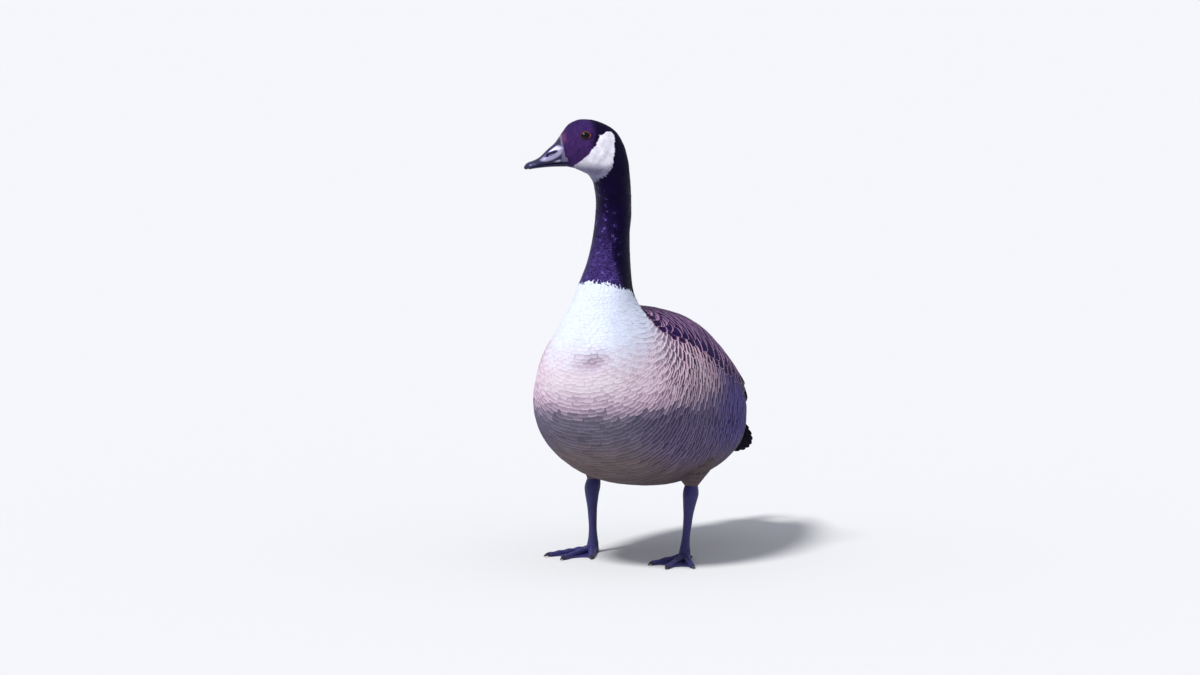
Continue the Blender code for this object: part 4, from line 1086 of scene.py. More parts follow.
@dataclass(frozen=True)
class Tract:
    """A feathered region, laid out in rows from the head end to the tail end.

    Spacings and widths are in millimetres at the given places; limits are degrees of turn.
    """

    first: float
    last: float
    reference: float
    places: tuple
    spacing: tuple
    width: tuple
    limit_places: tuple
    limit_from: tuple
    limit_to: tuple
    overlap: float = 2.7
    breadth: float = 0.66
    low: float = -0.0011
    high: float = -0.0001
    tilt: float = 0.00015
    sway: float = 0.07
    splay: float = 0.0

    def rows(self, form: Form) -> list[float]:
        """Places of the rows."""
        found, place = [], self.first
        while place > self.last:
            found.append(place)
            along, _ = slopes(form, np.array(place), np.array(math.radians(self.reference)))
            step = np.interp(place, self.places, self.spacing) * MM / np.linalg.norm(along)
            place -= float(step)
        return found

    def layout(self, form: Form, rng: np.random.Generator) -> tuple[Array, Array, Array, Array]:
        """Places, turns, spacing and half width of all the feathers."""
        picked = []
        rows = self.rows(form)
        for index, place in enumerate(rows):
            start = math.radians(np.interp(place, self.limit_places, self.limit_from))
            end = math.radians(np.interp(place, self.limit_places, self.limit_to))
            turns = np.linspace(start, end, 240)
            ring = form.point(np.full(240, place), turns)
            arc = np.concatenate([[0], np.cumsum(np.linalg.norm(np.diff(ring, axis=0), axis=1))])
            wide = np.interp(place, self.places, self.width) * MM
            count = max(int(round(arc[-1] / wide)), 1)
            at = (np.arange(count) + 0.25 + 0.5 * (index % 2)) * arc[-1] / count
            at = at + rng.uniform(-0.12, 0.12, count) * wide
            turn = np.interp(at, arc, turns)
            onward = place if index + 1 == len(rows) else rows[index + 1]
            step = abs(place - onward) or 0.1
            along, _ = slopes(form, np.full(count, place), turn)
            gap = np.linalg.norm(along, axis=1) * step
            wanted = np.interp(place, self.places, self.spacing) * MM * 0.62
            skip = 2 ** np.clip(np.ceil(np.log2(wanted / gap)), 0, 4).astype(int)
            keep = index % skip == 0
            gap = gap * skip
            jittered = place + rng.uniform(-0.10, 0.10, count) * step
            half = np.full(count, arc[-1] / count * self.breadth)
            picked.append(np.stack([jittered, turn, gap, half], 1)[keep])
        table = np.concatenate(picked)
        return table[:, 0], table[:, 1], table[:, 2], table[:, 3]

    def lay(self, form: Form, rng: np.random.Generator) -> Lay:
        """Lay the region's feathers on a form."""
        place, turn, gap, half = self.layout(form, rng)
        count = len(place)
        along, _ = slopes(form, place, turn)
        normal = form.normal(place, turn)
        lie = -unit(along)
        aside = np.cross(normal, lie)
        sway = rng.normal(0, self.sway, count) + self.splay * np.sin(turn)
        length = gap * self.overlap * rng.uniform(0.94, 1.08, count)
        way = unit(lie + aside * sway[:, None]) * length[:, None]
        d_place, d_turn = walk(form, place, turn, way)
        half_place, half_turn = walk(form, place + d_place / 2, turn + d_turn / 2, way)
        d_place, d_turn = (d_place + half_place) / 2, (d_turn + half_turn) / 2
        root = np.stack([place, turn], 1)
        tip = root + np.stack([d_place, d_turn], 1)
        points = form.point(*(root + (tip - root) * 0.8).T)
        ragged = rng.uniform(-1, 1, count)
        paint = MARKINGS.body(*(root + (tip - root) * 0.8).T, points, ragged)
        home = np.stack([(turn / (2 * math.pi)) % 1.0, np.clip(place / FORM_END, 0.002, 0.998)], 1)
        pale = smooth(0.15, 0.55, paint.ground[:, 0])
        return Lay(
            root,
            tip,
            half * rng.uniform(0.95, 1.05, count),
            np.full(count, self.low),
            self.high + rng.uniform(-0.0001, 0.0002, count),
            self.tilt * np.where(np.sin(turn) >= 0, 1.0, -1.0),
            paint,
            1 + rng.uniform(-0.15, 0.13, count) * (1 - 0.85 * pale),
            home,
        )


class Skin:
    """The goose's one skin, and where its points lie on the form."""

    SEGMENTS = 112
    NODES = (
        "torso", "neck_lower", "neck_upper", "head", "thigh_left", "thigh_right", "tail",
        "wing_left", "wing_right",
    )
    DEPTH_PLACES = (0.0, 9.5, 11.0, 17.0, 22.0, FORM_END)
    DEPTHS = (0.0030, 0.0026, 0.0016, 0.0012, 0.0009, 0.0007)

    def build(self, material: bpy.types.Material) -> bpy.types.Object:
        """Fuse trunk, thighs, wing cores and tail core into one closed skin."""
        places = np.concatenate([np.linspace(0, 10, 90), np.linspace(10, FORM_END, 170)[1:]])
        depth = np.interp(places, self.DEPTH_PLACES, self.DEPTHS)
        turns = np.arange(self.SEGMENTS) * 2 * math.pi / self.SEGMENTS
        hollow = COVERED.DIMPLE_DEPTH * COVERED.dimple(places[:, None], turns[None])
        skin = loft_mesh("skin", BIRD.grid(places, self.SEGMENTS, -depth[:, None] - hollow))
        others = [self.tail_core()]
        for side, shift in ((1, (0.0, 0.0)), (-1, (0.002, 0.020))):
            others.append(self.wing_core(side))
            others.append(loft_mesh("thigh", thigh_form(side, shift).grid(np.linspace(0, 4, 30), 40, -0.0012)))
        fuse(skin, others)
        fuse(skin, [loft_mesh("socket", EYES.rings(side, 0.0094, 0.0079, 0.0082)) for side in (1, -1)], "DIFFERENCE")
        self.paint(skin)
        skin.data.materials.clear()
        skin.data.materials.append(material)
        skin.data.shade_smooth()
        skin.data.set_sharp_from_angle(angle=math.radians(60))
        return skin

    def tail_core(self) -> bpy.types.Object:
        """The flesh that carries the tail feathers."""
        return loft_mesh("tail_core", TAIL.grid(np.linspace(0.05, 3, 24), 64, -0.0016))

    def wing_core(self, side: int) -> bpy.types.Object:
        """The folded wing's mass under its feathers."""
        rings = []
        for place in np.linspace(0.35, 7.2, 60):
            shares = np.linspace(0.04, 0.96, 22)
            spot = np.full(22, place)
            turns = WINGS.wing_turn(spot, shares)
            outer = WINGS.raised(spot, turns, -0.0024)
            inner = WINGS.point(spot, turns) - WINGS.normal(spot, turns) * 0.0080
            rings.append(np.concatenate([outer, inner[::-1]]) * np.array([side, 1, 1]))
        return loft_mesh(f"wing_core_{side}", np.array(rings))

    def paint(self, skin: bpy.types.Object) -> None:
        """Give every point the markings of the nearest place on the form."""
        places, turns = np.meshgrid(
            np.linspace(0, FORM_END, 270), np.linspace(-math.pi, math.pi, 90), indexing="ij"
        )
        places, turns = places.ravel(), turns.ravel()
        tree = kdtree.KDTree(len(places))
        for index, point in enumerate(BIRD.point(places, turns)):
            tree.insert(point, index)
        tree.balance()
        points = np.array([v.co[:] for v in skin.data.vertices]) - SHIFT
        near = np.array([tree.find(point)[1] for point in points])
        paint = MARKINGS.body(places[near], turns[near], points, np.zeros(len(points)))
        behind = smooth(0.232, 0.244, points[:, 1])
        paint.over(behind * (points[:, 2] > 0.125), Tint.RUMP, Tint.RUMP, 0.2)
        thigh = (points[:, 2] < 0.112).astype(float)
        paint.over(thigh, Tint.BELLY_DARK, Tint.BELLY_DARK, 0.2)
        store(skin.data, "Ground", "FLOAT_COLOR", paint.ground)
        home = np.stack([(turns[near] / (2 * math.pi)) % 1, places[near] / FORM_END], 1)
        corner_uv(skin.data, "OFBake", home)


def thigh_form(side: int, shift: tuple[float, float]) -> Form:
    """The feathered thigh, its foot carried out and back by the shift."""
    rows = (
        (0.052, 0.040, 0.165, 0.034, 0.050),
        (0.058, 0.034, 0.138, 0.032, 0.044),
        (0.064, 0.022, 0.116, 0.0245, 0.029),
        (0.068, 0.011, 0.104, 0.0145, 0.0170),
        (0.070, 0.006, 0.0975, 0.0090, 0.0105),
    )
    return Form([level_station(*leg_row(row, side, shift)) for row in reversed(rows)])


def leg_row(row: tuple, side: int, shift: tuple[float, float]) -> tuple:
    """A leg section moved by its share of the foot's shift, and mirrored for the right side."""
    x, y, z, half, depth = row
    share = (0.165 - z) / (0.165 - 0.0113)
    return (side * (x + shift[0] * share), y + shift[1] * share, z, half, depth)


@dataclass
class Coat:
    """Body feathers in tracts, and the wing's and tail's large feathers."""

    effects: Effects
    rng: np.random.Generator = field(default_factory=lambda: np.random.default_rng(SEED))

    def build(self) -> None:
        """Make every coat piece."""
        self.contour = PlumageFinish("contour_plumage", roughness=0.85, specular=0.15).make(self.effects)
        self.brown = PlumageFinish(
            "wing_plumage", roughness=0.66, specular=0.18, barbs=60, depth=0.0003, specular_tint=pigment(170, 140, 255)
        ).make(self.effects)
        self.quill = PlumageFinish(
            "quill_plumage", roughness=0.60, specular=0.20, barbs=110, slant=0.22, depth=0.0003, aspect=0.35,
            shaft=0.35, specular_tint=pigment(170, 140, 255),
        ).make(self.effects)
        self.body()
        self.back()
        self.rump()
        self.thighs()
        self.wing_quills()
        self.tail_quills()

    def body(self) -> None:
        """Breast, sides and belly."""
        tract = Tract(
            first=11.6,
            last=-0.3,
            reference=120,
            places=(0, 2, 4, 6, 8, 9, 10, 11.2),
            spacing=(8, 8.4, 7.8, 6.4, 4.7, 4.1, 3.6, 3.0),
            width=(20, 22, 21, 18, 11, 9, 7, 5.2),
            limit_places=(0, 1.2, 2.25, 3.4, 4.5, 5.55, 6.7, 7.3, 8, 9.0, 9.6, 10.2),
            limit_from=(100, 92, 68, 66, 61.5, 55.5, 52.5, 51, 47, 36, 20, 0),
            limit_to=(260, 268, 292, 294, 298.5, 304.5, 307.5, 309, 313, 324, 340, 360),
        )
        lay = tract.lay(COVERED, self.rng)
        upper = COVERED.point(*(lay.root + (lay.tip - lay.root) * 0.35).T)[:, 2]
        under = (upper < MARKINGS.necklace(lay.root[:, 1])) | (lay.root[:, 0] < 8.3)
        lay = lay.picked(under & (lay.paint.ground[:, 0] > MARKINGS.black_below))
        feathering = Feathering(COVERED, CONTOUR, self.rng)
        place, turn = lay.root[:, 0], lay.root[:, 1]
        aside = np.abs(np.degrees((turn + math.pi) % (2 * math.pi) - math.pi))
        soft = smooth(5.6, 7.6, place)
        lay.low = lay.low + 0.0005 * soft
        over_wing = smooth(98, 84, aside) * smooth(7.6, 4.8, place) * smooth(0.4, 1.4, place)
        lay.low = lay.low + 0.0004 * over_wing
        lay.high = lay.high + 0.0012 * over_wing
        left = (turn < math.pi) & (place < 6.6)
        right = (turn >= math.pi) & (place < 6.6)
        for name, keep in (("breast", place >= 6.6), ("side_left", left), ("side_right", right)):
            piece = feathering.piece(f"{name}_feathers", lay.picked(keep), self.contour)
            hand_over(piece, "body_plumage")

    def back(self) -> None:
        """Mantle and scapulars, over the wings' upper parts."""
        tract = Tract(
            first=9.9,
            last=1.9,
            reference=45,
            places=(2, 4, 6, 8, 10),
            spacing=(10, 9, 7.0, 5.0, 4.0),
            width=(24, 21, 14, 8.5, 6),
            limit_places=(2, 2.5, 4.5, 5.55, 6.7, 7.3, 8, 9.0, 9.9),
            limit_from=(-68, -70, -64, -60, -57, -55, -52, -46, -40),
            limit_to=(68, 70, 64, 60, 57, 55, 52, 46, 40),
            overlap=2.7,
            low=0.0008,
            high=0.0026,
            tilt=0.00025,
        )
        lay = tract.lay(WINGS, self.rng)
        aside = np.abs(np.degrees(lay.root[:, 1]))
        lay = lay.picked(lay.root[:, 0] > self.rng.uniform(1.8, 2.1, len(aside)) + 0.95 * smooth(36, 4, aside))
        border = MARKINGS.back_edge(lay.root[:, 0])
        ease = smooth(10.0, 7.5, lay.root[:, 0]) * smooth(border + 4, border - 12, np.abs(np.degrees(lay.root[:, 1])))
        lay.high = -0.0006 + (lay.high + 0.0006) * ease
        lay.low = -0.0016 + (lay.low + 0.0016) * ease
        mold = replace(CONTOUR, rows=7, rounding=0.12, power=2.8)
        piece = Feathering(WINGS, mold, self.rng).piece("back_feathers", lay, self.brown)
        hand_over(piece, "wing_plumage")

    def rump(self) -> None:
        """Black rump and the coverts over and under the tail's root."""
        tract = Tract(
            first=3.0, last=-0.2, reference=30, places=(0, 3), spacing=(9, 10), width=(12, 14),
            limit_places=(0, 3), limit_from=(-80, -70), limit_to=(80, 70),
        )
        lay = tract.lay(BIRD, self.rng)
        lay.paint.over(np.ones(len(lay.half)), Tint.RUMP, Tint.RUMP, 0.2)
        piece = Feathering(BIRD, CONTOUR, self.rng).piece("rump_feathers", lay, self.contour)
        hand_over(piece, "tail_plumage")
        tract = Tract(
            first=3.1, last=0.25, reference=60, places=(0, 3), spacing=(10, 9), width=(11, 12),
            limit_places=(0, 3), limit_from=(0, 0), limit_to=(360, 360), overlap=2.8, low=-0.0012, high=0.0010,
        )
        lay = tract.lay(TAIL, self.rng)
        aside = np.abs(np.degrees((lay.root[:, 1] + math.pi) % (2 * math.pi) - math.pi))
        lay.paint.over(np.ones(len(lay.half)), Tint.RUMP, Tint.RUMP, 0.3)
        crescent = (aside < 76) & (lay.root[:, 0] > 1.75) & (lay.root[:, 0] < 2.6)
        lay.paint.over(crescent.astype(float), Tint.WHITE, Tint.WHITE, 0.3)
        lay.paint.over(smooth(138, 152, aside), Tint.WHITE, Tint.WHITE, 0.3)
        lay.home[:, 1] = np.clip(lay.root[:, 0] / 3.2, 0.01, 0.99)
        piece = Feathering(TAIL, CONTOUR, self.rng).piece("tail_coverts", lay, self.contour)
        hand_over(piece, "body_plumage")

    def thighs(self) -> None:
        """Short feathers down each thigh."""
        tract = Tract(
            first=3.4, last=-0.05, reference=90, places=(0, 1, 2, 3.4), spacing=(3.2, 4.2, 5.5, 8),
            width=(4.0, 5.0, 7.0, 10), limit_places=(0, 3), limit_from=(0, 0), limit_to=(360, 360),
            low=-0.0010, high=0.0004, tilt=0.0002,
        )
        for side, shift, word in ((1, (0.0, 0.0), "left"), (-1, (0.002, 0.020), "right")):
            form = thigh_form(side, shift)
            lay = tract.lay(form, self.rng)
            count = len(lay.half)
            lay.paint = Paint.plain(count, Tint.BELLY_DARK, Tint.BELLY, 0.3)
            lay.home[:, 1] = np.clip(lay.root[:, 0] / 4, 0.01, 0.99)
            piece = Feathering(form, CONTOUR, self.rng).piece(f"thigh_feathers_{word}", lay, self.contour)
            hand_over(piece, "body_plumage")

    def wing_quills(self) -> None:
        """Primaries, secondaries, tertials and coverts of both wings, in tiers."""
        mold = VaneMold(
            columns=8, rows=20, along=(0.0, 0.3, 0.7, 0.9, 1.0), widths=(0.6, 0.92, 1.0, 0.86, 0.66),
            rounding=0.06, power=2.0, arch=0.0005, points_from=0.996, point_reach=0.003,
        )
        tiers = (
            ("primaries", 7, (1.90, 0.18), (1.55, 0.66), (-0.14, 0.20), (0.30, 0.84), 0.0085, 0.0000, 0.0009),
            ("secondaries", 6, (3.30, 0.40), (3.50, 0.72), (1.00, 0.50), (1.60, 0.76), 0.0082, -0.0004, 0.0006),
            ("tertials", 5, (3.20, 0.10), (3.10, 0.48), (0.46, 0.13), (0.85, 0.50), 0.0125, 0.0010, 0.0022),
        )
        for side, word in ((1, "left"), (-1, "right")):
            lays = [self.tier(side, *tier[1:], tier[0]) for tier in tiers]
            joined = join_lays(lays)
            piece = Feathering(WINGS, mold, self.rng).piece(f"wing_quills_{word}", joined, self.quill)
            hand_over(piece, "wing_plumage")

    def tier(
        self, side: int, count: int, first_root: tuple, last_root: tuple, first_tip: tuple, last_tip: tuple,
        half: float, low: float, high: float, kind: str,
    ) -> Lay:
        """One tier of a wing's large feathers, evenly spread between its first and last."""
        share = np.linspace(0, 1, count)[:, None]
        root = np.array(first_root) * (1 - share) + np.array(last_root) * share
        tip = np.array(first_tip) * (1 - share) + np.array(last_tip) * share
        tip = tip + self.rng.uniform(-0.04, 0.04, (count, 1)) * np.array([1.0, 0.0])
        root = np.stack([root[:, 0], side * WINGS.wing_turn(root[:, 0], root[:, 1])], 1)
        tip = np.stack([tip[:, 0], side * WINGS.wing_turn(tip[:, 0], tip[:, 1])], 1)
        grounds = {"primaries": Tint.TAIL, "secondaries": Tint.QUILL}
        paint = Paint.plain(count, grounds.get(kind, Tint.BACK), Tint.QUILL_EDGE, 0.02)
        if kind == "tertials":
            paint.over(np.ones(count), Tint.BACK, Tint.BACK_EDGE, 0.03)
        home = np.stack([(root[:, 1] / (2 * math.pi)) % 1, np.clip(root[:, 0] / 8, 0.01, 0.99)], 1)
        step = 0.0002 * (np.arange(count) % 2)
        return Lay(
            root, tip, np.full(count, half), np.full(count, low - 0.0012), high + step,
            np.full(count, -0.0006 * side), paint, self.rng.uniform(0.9, 1.08, count), home,
        )

    def tail_quills(self) -> None:
        """The rounded fan of tail feathers."""
        fan = TailFan()
        piece = fan.build(PlumageFinish("tail_plumage", roughness=0.75, specular=0.08, barbs=70).make(self.effects), self.rng)
        hand_over(piece, "tail_plumage")


def join_lays(lays: Sequence[Lay]) -> Lay:
    """Several lays as one."""
    joined = {}
    for name in ("root", "tip", "half", "low", "high", "tilt", "tone", "home"):
        joined[name] = np.concatenate([getattr(lay, name) for lay in lays])
    paint = Paint(*(np.concatenate([getattr(lay.paint, k) for lay in lays]) for k in ("ground", "edge", "fringe")))
    return Lay(paint=paint, **joined)


@dataclass(frozen=True)
class TailFan:
    """The tail's fan: its middle pair lies on top and the rest step down to each side."""

    count: int = 16
    spread: float = math.radians(30)
    droop: float = math.radians(47)
    root: Point = (0.0, 0.204, 0.190)
    root_spread: float = 0.0124
    reach: float = 0.034
    middle_length: float = 0.126
    outer_length: float = 0.076
    half: float = 0.0140
    arch: float = -0.0019
    step: float = 0.0004

    def build(self, material: bpy.types.Material, rng: np.random.Generator) -> bpy.types.Object:
        """Press every tail feather straight along its own line."""
        mold = VaneMold(
            columns=8, rows=16, along=(0.0, 0.3, 0.68, 0.9, 1.0), widths=(0.62, 0.9, 1.0, 0.99, 0.92),
            rounding=0.14, power=2.3, arch=0.0004, points_from=0.998, point_reach=0.001,
        )
        along, across, free, low = mold.pattern()
        feathers = []
        for index in range(self.count):
            share = 2 * index / (self.count - 1) - 1
            angle = self.spread * share
            onward = unit(np.array([math.sin(angle), math.cos(angle) * math.cos(self.droop), -math.sin(self.droop)]))
            lateral = unit(np.cross(onward, [0, 0, 1])) * math.copysign(1, share)
            normal = np.cross(lateral, onward) * math.copysign(1, share)
            below = self.step * (abs(2 * index - self.count + 1) // 2) + self.arch * share * share
            start = np.array(self.root) + np.array([self.root_spread * share, 0, -below])
            length = self.middle_length + (self.outer_length - self.middle_length) * share * share
            ends = 1 - mold.rounding * np.abs(across) ** mold.power
            reach = along * ends + free * mold.point_reach * rng.uniform(-1, 1, len(along))
            far = self.reach + (length - self.reach) * reach
            height = mold.arch * (1 - across**2) - low * mold.back_depth + 0.0006 * across
            points = start + onward * far[:, None] + normal * height[:, None]
            points += lateral * (self.half * mold.width(along) * across)[:, None]
            feathers.append(points if share > 0 else points[:, :])
        points = np.array(feathers)
        count = self.count
        paint = Paint.plain(count, Tint.TAIL, Tint.RUMP, 0.05)
        home = np.stack([np.linspace(0.05, 0.95, count), np.full(count, 0.5)], 1)
        zero = np.zeros(count)
        lay = Lay(np.zeros((count, 2)), np.zeros((count, 2)), zero, zero, zero, zero, paint,
                  rng.uniform(0.9, 1.1, count), home)
        piece = gather("tail_quills", points, mold, lay, material)
        turn_outward(piece)
        return piece


def turn_outward(piece: bpy.types.Object) -> None:
    """Recalculate a piece's faces so that each closed part faces out."""
    made = bmesh.new()
    made.from_mesh(piece.data)
    bmesh.ops.recalc_face_normals(made, faces=made.faces)
    made.to_mesh(piece.data)
    made.free()


def weld(mesh: bpy.types.Mesh) -> None:
    """Make points that meet one, so that a mesh is closed."""
    made = bmesh.new()
    made.from_mesh(mesh)
    bmesh.ops.remove_doubles(made, verts=made.verts, dist=0.00001)
    made.to_mesh(mesh)
    made.free()


def tuft_tree() -> bpy.types.NodeTree:
    """Geometry Nodes that plant one small feather on every point.

    Each point carries its normal, lie, size and colours. The feather's patch of the baked map lies
    at its point's home.
    """
    tree = bpy.data.node_groups.new("plant_tufts", "GeometryNodeTree")
    tree.interface.new_socket("Points", in_out="INPUT", socket_type="NodeSocketGeometry")
    tree.interface.new_socket("Tuft", in_out="INPUT", socket_type="NodeSocketObject")
    tree.interface.new_socket("Material", in_out="INPUT", socket_type="NodeSocketMaterial")
    patch = tree.interface.new_socket("Patch", in_out="INPUT", socket_type="NodeSocketFloat")
    patch.default_value = 0.003
    tree.interface.new_socket("Feathers", in_out="OUTPUT", socket_type="NodeSocketGeometry")
    sketch = Sketch(tree)
    given, result = sketch.add("NodeGroupInput"), sketch.add("NodeGroupOutput")

    def read(name: str) -> bpy.types.NodeSocket:
        node = sketch.add("GeometryNodeInputNamedAttribute", {"Name": name}, data_type="FLOAT_VECTOR")
        return node.outputs["Attribute"]

    mold = sketch.add("GeometryNodeObjectInfo", {"Object": given.outputs["Tuft"]})
    axes = sketch.add(
        "FunctionNodeAxesToRotation", {0: read("normal"), 1: read("lie")}, primary_axis="Z", secondary_axis="Y"
    )
    planted = sketch.add(
        "GeometryNodeInstanceOnPoints",
        {
            "Points": given.outputs["Points"],
            "Instance": mold.outputs["Geometry"],
            "Rotation": axes.outputs[0],
            "Scale": read("size"),
        },
    )
    real = sketch.add("GeometryNodeRealizeInstances", {0: planted.outputs[0]})
    local = sketch.add("ShaderNodeVectorMath", {0: read("Vane"), 1: (0.5, 0.5, 0.0)}, operation="SUBTRACT")
    small = sketch.add("ShaderNodeVectorMath", {0: local.outputs[0]}, operation="SCALE")
    tree.links.new(given.outputs["Patch"], small.inputs["Scale"])
    home = sketch.add("ShaderNodeVectorMath", {0: small.outputs[0], 1: read("home")}, operation="ADD")
    baked = sketch.add(
        "GeometryNodeStoreNamedAttribute",
        {"Geometry": real.outputs[0], "Name": "OFBake", "Value": home.outputs[0]},
        data_type="FLOAT2",
        domain="CORNER",
    )
    dressed = sketch.add("GeometryNodeSetMaterial", {0: baked.outputs[0], 2: given.outputs["Material"]})
    tree.links.new(dressed.outputs[0], result.inputs[0])
    return tree


def mold_object(mold: VaneMold, name: str) -> bpy.types.Object:
    """A one-long, two-wide feather in its own frame: Y along, Z off the skin."""
    along, across, free, low = mold.pattern()
    ends = 1 - mold.rounding * np.abs(across) ** mold.power
    reach = along * ends + free * mold.point_reach * np.resize([0.9, -0.6, 0.3, -0.8], len(along))
    height = mold.arch * (1 - across**2) - low * mold.back_depth
    height = height + 0.30 * along**1.5 - 0.16 + 0.05 * across
    points = np.stack([across * mold.width(along), reach, height], -1)
    faces = mold.faces()
    mesh = bpy.data.meshes.new(name)
    set_points(mesh, points, outward(points, faces))
    corner_uv(mesh, "Vane", np.stack([(across + 1) / 2, along], -1))
    mesh.shade_smooth()
    mesh.set_sharp_from_angle(angle=math.radians(40))
    return bpy.data.objects.new(name, mesh)


@dataclass(frozen=True)
class HeadCoat:
    """The neck's and head's short feathers, planted as tufts."""

    neck_spacing: float = 0.0028
    head_spacing: float = 0.0016

    def build(self, effects: Effects, rng: np.random.Generator) -> None:
        """Plant both pieces."""
        black = PlumageFinish(
            "neck_plumage", roughness=0.40, specular=0.20, barbs=10, depth=0.0002, mottle=0.4, shaft=0.0,
            sheen=0.0, specular_tint=pigment(150, 110, 255), gloss=0.7, gloss_scale=110.0,
        ).make(effects)
        head = PlumageFinish(
            "head_plumage", roughness=0.62, specular=0.2, barbs=8, depth=0.00015, mottle=0.45, mottle_scale=130.0, shaft=0.0,
            specular_tint=pigment(160, 130, 255),
        ).make(effects)
        tree = tuft_tree()
        tuft = mold_object(VaneMold(columns=3, rows=2, rounding=0.25, arch=0.07, points_from=0.86,
                                    point_reach=0.10, back_depth=0.05), "tuft")
        for name, first, last, material, slot in (
            ("neck_feathers", 8.2, 18.3, black, "neck_plumage"),
            ("nape_feathers", 18.3, 21.6, head, "head_plumage"),
            ("face_feathers", 21.6, FORM_END + 0.02, head, "head_plumage"),
        ):
            piece = self.plant(name, first, last, tree, tuft, material, rng)
            hand_over(piece, slot)
        bpy.data.objects.remove(tuft, do_unlink=True)

    def spots(self, first: float, last: float, rng: np.random.Generator) -> tuple[Array, Array, Array]:
        """Places, turns and spacing of staggered rows of tufts."""
        found = []
        place, index = first, 0
        while place < last:
            share = float(smooth(17.5, 21, np.array(place)))
            spacing = self.neck_spacing + (self.head_spacing - self.neck_spacing) * share
            turns = np.linspace(-math.pi, math.pi, 181)
            ring = BIRD.point(np.full(181, place), turns)
            arc = np.concatenate([[0], np.cumsum(np.linalg.norm(np.diff(ring, axis=0), axis=1))])
            count = int(arc[-1] / spacing)
            at = (np.arange(count) + 0.5 * (index % 2) + rng.uniform(-0.25, 0.25, count)) * arc[-1] / count
            turn = np.interp(at % arc[-1], arc, turns)
            found.append(np.stack([place + rng.uniform(-0.02, 0.02, count), turn, np.full(count, spacing)], 1))
            along, _ = slopes(BIRD, np.full(24, place), np.linspace(-math.pi, math.pi, 24))
            widest = np.linalg.norm(along, axis=1).max()
            place += spacing * 0.86 / widest
            index += 1
        table = np.concatenate(found)
        along, _ = slopes(BIRD, table[:, 0], table[:, 1])
        crowding = np.linalg.norm(along, axis=1)
        order = rng.uniform(0, 1, len(table))
        local = BIRD.steps[np.clip(table[:, 0].astype(int), 0, BIRD.last - 1)]
        keep = order < np.clip(crowding / np.maximum(local, 1e-6) * 1.25 + 0.12, 0, 1)
        return table[keep, 0], table[keep, 1], table[keep, 2]

    def plant(
        self, name: str, first: float, last: float, tree: bpy.types.NodeTree, tuft: bpy.types.Object,
        material: bpy.types.Material, rng: np.random.Generator,
    ) -> bpy.types.Object:
        """Plant tufts on the form between two places."""
        place, turn, spacing = self.spots(first, last, rng)
        points = BIRD.raised(place, turn, -0.0003)
        normal = BIRD.normal(place, turn)
        along, _ = slopes(BIRD, place, turn)
        lie = -unit(along)
        tips = points + lie * spacing[:, None] * 2.0
        clear = [EYES.clear_of(spots, side) for spots in (points, tips) for side in (1, -1)]
        keep = (np.min(clear, axis=0) > 1) & (points[:, 2] > 0.334)
        place, turn, spacing, points, normal, lie = (
            values[keep] for values in (place, turn, spacing, points, normal, lie)
        )
        lie = unit(lie + np.cross(normal, lie) * rng.normal(0, 0.12, len(place))[:, None])
        count = len(place)
        ragged = rng.uniform(-1, 1, count)
        paint = MARKINGS.body(place, turn, points + lie * 0.001, ragged)
        if name == "neck_feathers":
            necklace = paint.ground[:, 0] <= 2 * MARKINGS.black_below
            place, turn, spacing, points, normal, lie, ragged = (
                values[necklace] for values in (place, turn, spacing, points, normal, lie, ragged)
            )
            paint = Paint(paint.ground[necklace], paint.edge[necklace], paint.fringe[necklace])
            count = len(place)
        size = np.stack(
            [
                spacing * rng.uniform(0.62, 0.76, count),
                spacing * rng.uniform(2.3, 2.8, count),
                spacing * rng.uniform(0.50, 0.75, count),
            ],
            1,
        )
        mesh = bpy.data.meshes.new(name)
        mesh.vertices.add(count)
        mesh.vertices.foreach_set("co", (points + SHIFT).astype(np.float32).ravel())
        store(mesh, "normal", "FLOAT_VECTOR", normal)
        store(mesh, "lie", "FLOAT_VECTOR", lie)
        store(mesh, "size", "FLOAT_VECTOR", size)
        home = np.stack([(turn / (2 * math.pi)) % 1, np.clip(place / FORM_END, 0.002, 0.998), np.zeros(count)], 1)
        store(mesh, "home", "FLOAT_VECTOR", home)
        store(mesh, "Ground", "FLOAT_COLOR", paint.ground)
        store(mesh, "Edge", "FLOAT_COLOR", paint.edge)
        store(mesh, "Fringe", "FLOAT", paint.fringe)
        pale = smooth(0.15, 0.5, paint.ground[:, 0])
        store(mesh, "Tone", "FLOAT", 1 + rng.uniform(-0.25, 0.25, count) * (1 - 0.9 * pale))
        planted = bpy.data.objects.new(name, mesh)
        bpy.context.scene.collection.objects.link(planted)
        modifier = planted.modifiers.new("plant", "NODES")
        modifier.node_group = tree
        sockets = {item.name: item.identifier for item in tree.interface.items_tree if item.in_out == "INPUT"}
        modifier[sockets["Tuft"]] = tuft
        modifier[sockets["Material"]] = material
        bake(planted)
        return planted


@dataclass(frozen=True)
class EyeFinish(Finish):
    """A dark wet eye: brown iris round a black pupil."""

    def make(self) -> bpy.types.Material:
        """Build the material."""
        material, sketch, shader = self.start()
        angle = sketch.add("ShaderNodeAttribute", attribute_name="FromPupil").outputs["Fac"]
        iris = sketch.ramp(angle, 0.42, 0.47)
        white = sketch.ramp(angle, 0.86, 0.98)
        colour = sketch.mix(iris, pigment(2, 1, 3), pigment(16, 8, 9))
        colour = sketch.mix(white, colour, pigment(18, 12, 16))
        sketch.tree.links.new(colour, shader.inputs["Base Color"])
        return material


